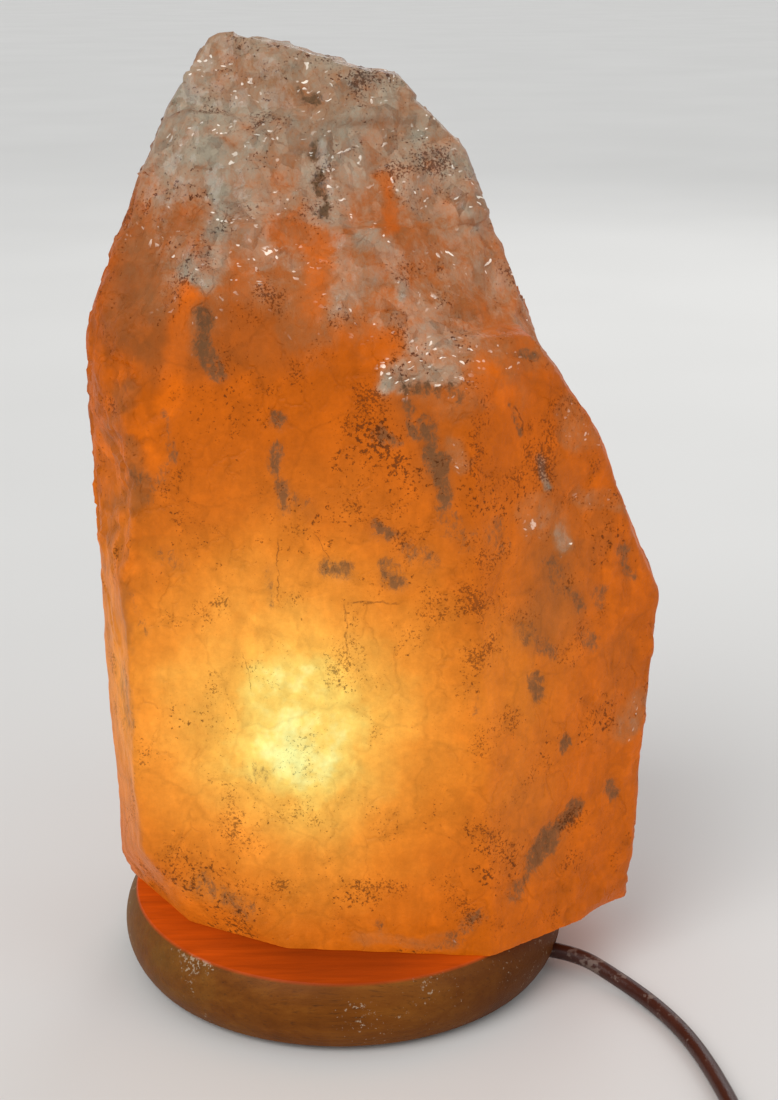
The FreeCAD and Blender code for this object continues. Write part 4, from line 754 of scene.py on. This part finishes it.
# where the parts of the skin begin or end, in millimetres: heights, then distances to one side
UPPER_CROWN_LOW, SHOULDER_TOP, LEFT_BREAK_LOW, LOW_EDGE_TOP = 212, 232, 118, 46
SHOULDER_LEFT, LEFT_BREAK_LEFT, RIGHT_FLANK_RIGHT = 40, 44, 48
# random heights: length in millimetres, layers and seed
BROAD_WAVES, FINE_WAVES = (34.0, 4, 3.1), (11.0, 4, 7.7)
RAGGED_WAVES, GRIT_WAVES = (16.0, 5, 11.9), (3.6, 2, 19.3)
# facets: size in millimetres and seed
SMALL_FACETS, LEFT_FACETS, CROWN_FACETS, FRONT_FACETS = (5.5, 5.9), (8.0, 4.4), (14.0, 2.3), (19.0, 8.1)
MARK_END, MARK_FADE = 1.6, 1.2  # where a mark ends and how long it fades, as shares of its radius
HIGHEST, DEEPEST = 2.5, -3.5  # how far the skin may stand out of the cleaved form and lie in it
# three steps away, for the three parts of a facet's lean
LEAN_OFFSETS = (Vector((13.7, 4.1, 8.3)), Vector((2.9, 21.3, 5.6)), Vector((7.4, 9.8, 31.2)))


def ease(value):
    """A share held to 0 to 1, with soft ends."""
    value = np.clip(value, 0, 1)
    return value * value * (3 - 2 * value)


def waves(spots, size, octaves, seed):
    """Layered random values, about -1 to 1, for points in millimetres. Size is their length."""
    offset = Vector((seed, seed * 1.7, seed * 0.6))
    return np.array([noise.fractal(Vector(spot) / size + offset, 1.0, 2.1, octaves) for spot in spots])


def cleavage(spots, size, seed):
    """Flat facets with broken edges between them, about -1 to 1, for points in millimetres."""
    offset = Vector((seed, seed * 1.3, seed * 0.7))
    heights = np.zeros(len(spots))
    for i, spot in enumerate(spots):
        here = Vector(spot) / size + offset
        centre = noise.voronoi(here)[1][0]
        lean = Vector([noise.noise(centre * 9.1 + away) for away in LEAN_OFFSETS])
        heights[i] = (here - centre).dot(lean) * 1.6 + noise.noise(centre * 5.3) * 0.7
    return heights


def marked(x, height, facing, marks):
    """How much each point belongs to a list of marks."""
    share = np.zeros(len(x))
    for x0, z0, x1, z1, radius, strength in marks:
        along = np.clip(((x - x0) * (x1 - x0) + (height - z0) * (z1 - z0))
                        / max((x1 - x0) ** 2 + (z1 - z0) ** 2, 1e-6), 0, 1)
        apart = np.hypot(x - x0 - along * (x1 - x0), height - z0 - along * (z1 - z0))
        share = np.maximum(share, strength * ease((MARK_END - apart / radius) / MARK_FADE))
    return share * facing


def crystal_mesh():
    """The CAD crystal as an even net of small faces, with its edges softened."""
    source = nodes["salt_crystal"].data.copy()
    form = bmesh.new()
    form.from_mesh(source)
    bmesh.ops.remove_doubles(form, verts=form.verts, dist=MERGE_DISTANCE)
    form.to_mesh(source)
    form.free()
    holder = bpy.data.objects.new("crystal_form", source)
    scene.collection.objects.link(holder)
    net = holder.modifiers.new("net", "REMESH")
    net.mode = "VOXEL"
    net.voxel_size = VOXEL
    bpy.context.view_layer.update()
    depsgraph = bpy.context.evaluated_depsgraph_get()
    mesh = bpy.data.meshes.new_from_object(holder.evaluated_get(depsgraph))
    bpy.data.objects.remove(holder)
    bpy.data.meshes.remove(source)
    mesh.materials.clear()
    form = bmesh.new()
    form.from_mesh(mesh)
    outer = [v for v in form.verts if v.co.z > SEAT + 2 * VOXEL]
    for _ in range(ROUNDS_OF_SMOOTHING):
        bmesh.ops.smooth_vert(form, verts=outer, factor=0.5, use_axis_x=True, use_axis_y=True,
                              use_axis_z=True)
    form.normal_update()
    form.to_mesh(mesh)
    form.free()
    return mesh


def values_of(mesh, name):
    """A vector of each of the mesh's points, as rows."""
    values = np.zeros(len(mesh.vertices) * 3)
    mesh.vertices.foreach_get(name, values)
    return values.reshape(-1, 3)


def crystal_marks(skin):
    """How much frost, lit vein, stain and dull salt each point of the skin has. The stains hold one
    painted shadow, and the dull share also holds painted shade on faces turned to either side.
    """
    x, height, broad, fine, ragged = skin.x, skin.height, skin.broad, skin.fine, skin.ragged
    facing = ease((FRONT * skin.normals[:, 1] + 0.15) * 2)
    veil = ease((height - skin.line + 20 + 10 * ragged + 5 * fine) / 34)
    upper = ease((height - UPPER_CROWN_LOW + 6 * ragged) / 22)
    shoulder = ease((-x - SHOULDER_LEFT + 5 * ragged) / 14) * ease((SHOULDER_TOP - height) / 12)
    warped_x, warped_z = x + 3.0 * ragged + 1.6 * fine, height + 3.0 * fine
    patches = marked(warped_x, warped_z, facing, FROST_MARKS)
    base = veil * (0.43 + 0.24 * upper + 0.12 * ragged + 0.10 * broad) * (1 - 0.55 * shoulder)
    frost = np.clip(np.maximum(base, patches * (0.85 + 0.3 * fine)), 0, 1)
    vein = marked(warped_x, warped_z, facing, VEIN_MARKS)
    grit = waves(skin.in_mm, *GRIT_WAVES)
    stain_and_shadow = marked(x + 1.2 * fine + 1.3 * grit, height + 1.2 * ragged + 1.3 * np.roll(grit, 7), facing,
                   STAIN_AND_SHADOW_MARKS)
    dull_and_side_shade = marked(warped_x + 2 * ragged, warped_z + 3 * broad, facing, DULL_MARKS)
    # painted shade: faces turned to either side get less glow and some of the dull colour
    dull_and_side_shade = np.maximum(dull_and_side_shade, 0.34 * ease((np.abs(skin.normals[:, 0]) - 0.45) * 3))
    return {"frost": frost * (1 - 0.80 * vein), "vein": vein, "stain_and_shadow": stain_and_shadow, "dull_and_side_shade": dull_and_side_shade}


def crystal_relief(skin, marks):
    """How far each point stands out, in millimetres, and the small facets' relief, used for painted
    light on their ridges and painted shade in their hollows. The crown, the left edge, the back and the
    lower edge are rough, and the front is nearly smooth."""
    x, y, height = skin.x, skin.y, skin.height
    crown = ease((height - skin.line + 6 * skin.ragged + 3 * skin.fine) / 8)
    left_break = ease((-x - LEFT_BREAK_LEFT) / 8) * ease((height - LEFT_BREAK_LOW) / 15)
    low_edge = ease((LOW_EDGE_TOP - height) / 18) * (0.35 + 0.4 * ease((10 - x) / 30))
    right_flank = ease((x - RIGHT_FLANK_RIGHT) / 12)
    rear = ease(y / 20)
    rough = np.clip(crown + 0.9 * left_break + 0.35 * right_flank + 0.6 * rear + 0.6 * low_edge, 0, 1)
    rise = 0.8 * skin.broad + 0.35 * skin.fine + 0.25 * left_break * skin.ragged
    broken = cleavage(skin.in_mm, *SMALL_FACETS)
    rise += rough * (1.1 * cleavage(skin.in_mm, *CROWN_FACETS) + 0.7 * broken + 0.3 * skin.fine)
    rise += ((1 - rough) * 0.45 * cleavage(skin.in_mm, *FRONT_FACETS)
             + 0.8 * left_break * cleavage(skin.in_mm, *LEFT_FACETS))
    rise -= 0.8 * marks["stain_and_shadow"] + 0.5 * marks["vein"]
    bore = (np.hypot(x, y) < CAVITY_RADIUS / MM) & (height < CAVITY_TOP / MM)
    free = np.where(bore, 0.0, ease((height - SEAT / MM) / 4))
    return free * np.clip(rise, DEEPEST, HIGHEST), broken * (0.35 + 0.65 * rough + 0.8 * left_break)


def crystal():
    """The crystal's broken skin, cleaved into small facets. It stays as it is in the bore and
    underneath, and inside the CAD model's box."""
    mesh = crystal_mesh()
    spots, normals = values_of(mesh, "co"), values_of(mesh, "normal")
    in_mm = spots / MM
    x, y, height = in_mm.T
    skin = SimpleNamespace(in_mm=in_mm, normals=normals, x=x, y=y, height=height,
                           line=np.interp(x, *zip(*CROWN_LINE)), broad=waves(in_mm, *BROAD_WAVES),
                           fine=waves(in_mm, *FINE_WAVES), ragged=waves(in_mm, *RAGGED_WAVES))
    marks = crystal_marks(skin)
    rise, marks["facet_relief_shade"] = crystal_relief(skin, marks)
    low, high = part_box("salt_crystal")
    spots = np.clip(spots + normals * (rise * MM)[:, None], np.array(low), np.array(high))
    mesh.vertices.foreach_set("co", spots.ravel())
    for name, values in marks.items():
        mesh.attributes.new(name, "FLOAT", "POINT").data.foreach_set("value", values)
    mesh.shade_smooth()
    mesh.set_sharp_from_angle(angle=SHARP_EDGE)
    piece = new_piece("salt_crystal_skin", mesh, "salt", "lamp")
    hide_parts("salt_crystal")


# ---------------------------------------------------------------- stage
FLOOR_SIZE, FLOOR_DROP = 30, 0.0002
FLOOR_COLOURS = ((0.3, (0.66, 0.65, 0.63)), (0.7, (0.69, 0.68, 0.66)))
SKY_COLOUR, SKY_STRENGTH = (0.96, 0.98, 1.0, 1), 0.62
LIT_SPOT = Vector((0, 0, 0.13))
# name, kind, place, power, and the angle of a sun or the size of an area, which softens it
STUDIO_LIGHTS = (
    ("key", "SUN", (-0.9, -1.1, 1.5), 1.5, 0.7),
    ("fill", "AREA", (1.2, -0.8, 0.7), 3.0, 0.9),
    ("back", "AREA", (0.5, 1.3, 1.0), 4.0, 0.8),
)


def stage():
    """A plain pale floor and soft light from a studio."""
    form = bmesh.new()
    bmesh.ops.create_grid(form, x_segments=1, y_segments=1, size=FLOOR_SIZE,
                          matrix=Matrix.Translation((0, 0, -FLOOR_DROP)))
    mesh = bpy.data.meshes.new("floor")
    form.to_mesh(mesh)
    form.free()
    material, tree = new_finish("floor", Roughness=0.6, Specular_IOR_Level=0.2)
    feed(tree, Base_Color=ramp(tree, cloud(tree, place_of(tree), 3.0, 2.0), FLOOR_COLOURS))
    mesh.materials.append(material)
    floor = bpy.data.objects.new("floor", mesh)
    scene.collection.objects.link(floor)

    world = bpy.data.worlds.new("studio")
    world.use_nodes = True
    background = world.node_tree.nodes["Background"].inputs
    background["Color"].default_value = SKY_COLOUR
    background["Strength"].default_value = SKY_STRENGTH
    scene.world = world
    for name, kind, spot, power, softness in STUDIO_LIGHTS:
        light = bpy.data.lights.new(name, kind)
        light.energy = power
        setattr(light, "angle" if kind == "SUN" else "size", softness)
        thing = bpy.data.objects.new(name, light)
        thing.location = spot
        thing.rotation_euler = (LIT_SPOT - Vector(spot)).to_track_quat("-Z", "Y").to_euler()
        scene.collection.objects.link(thing)


# ---------------------------------------------------------------- the scene
scene.view_settings.view_transform = "Standard"
camera()
dress_nodes()
cords()
crystal()
stage()
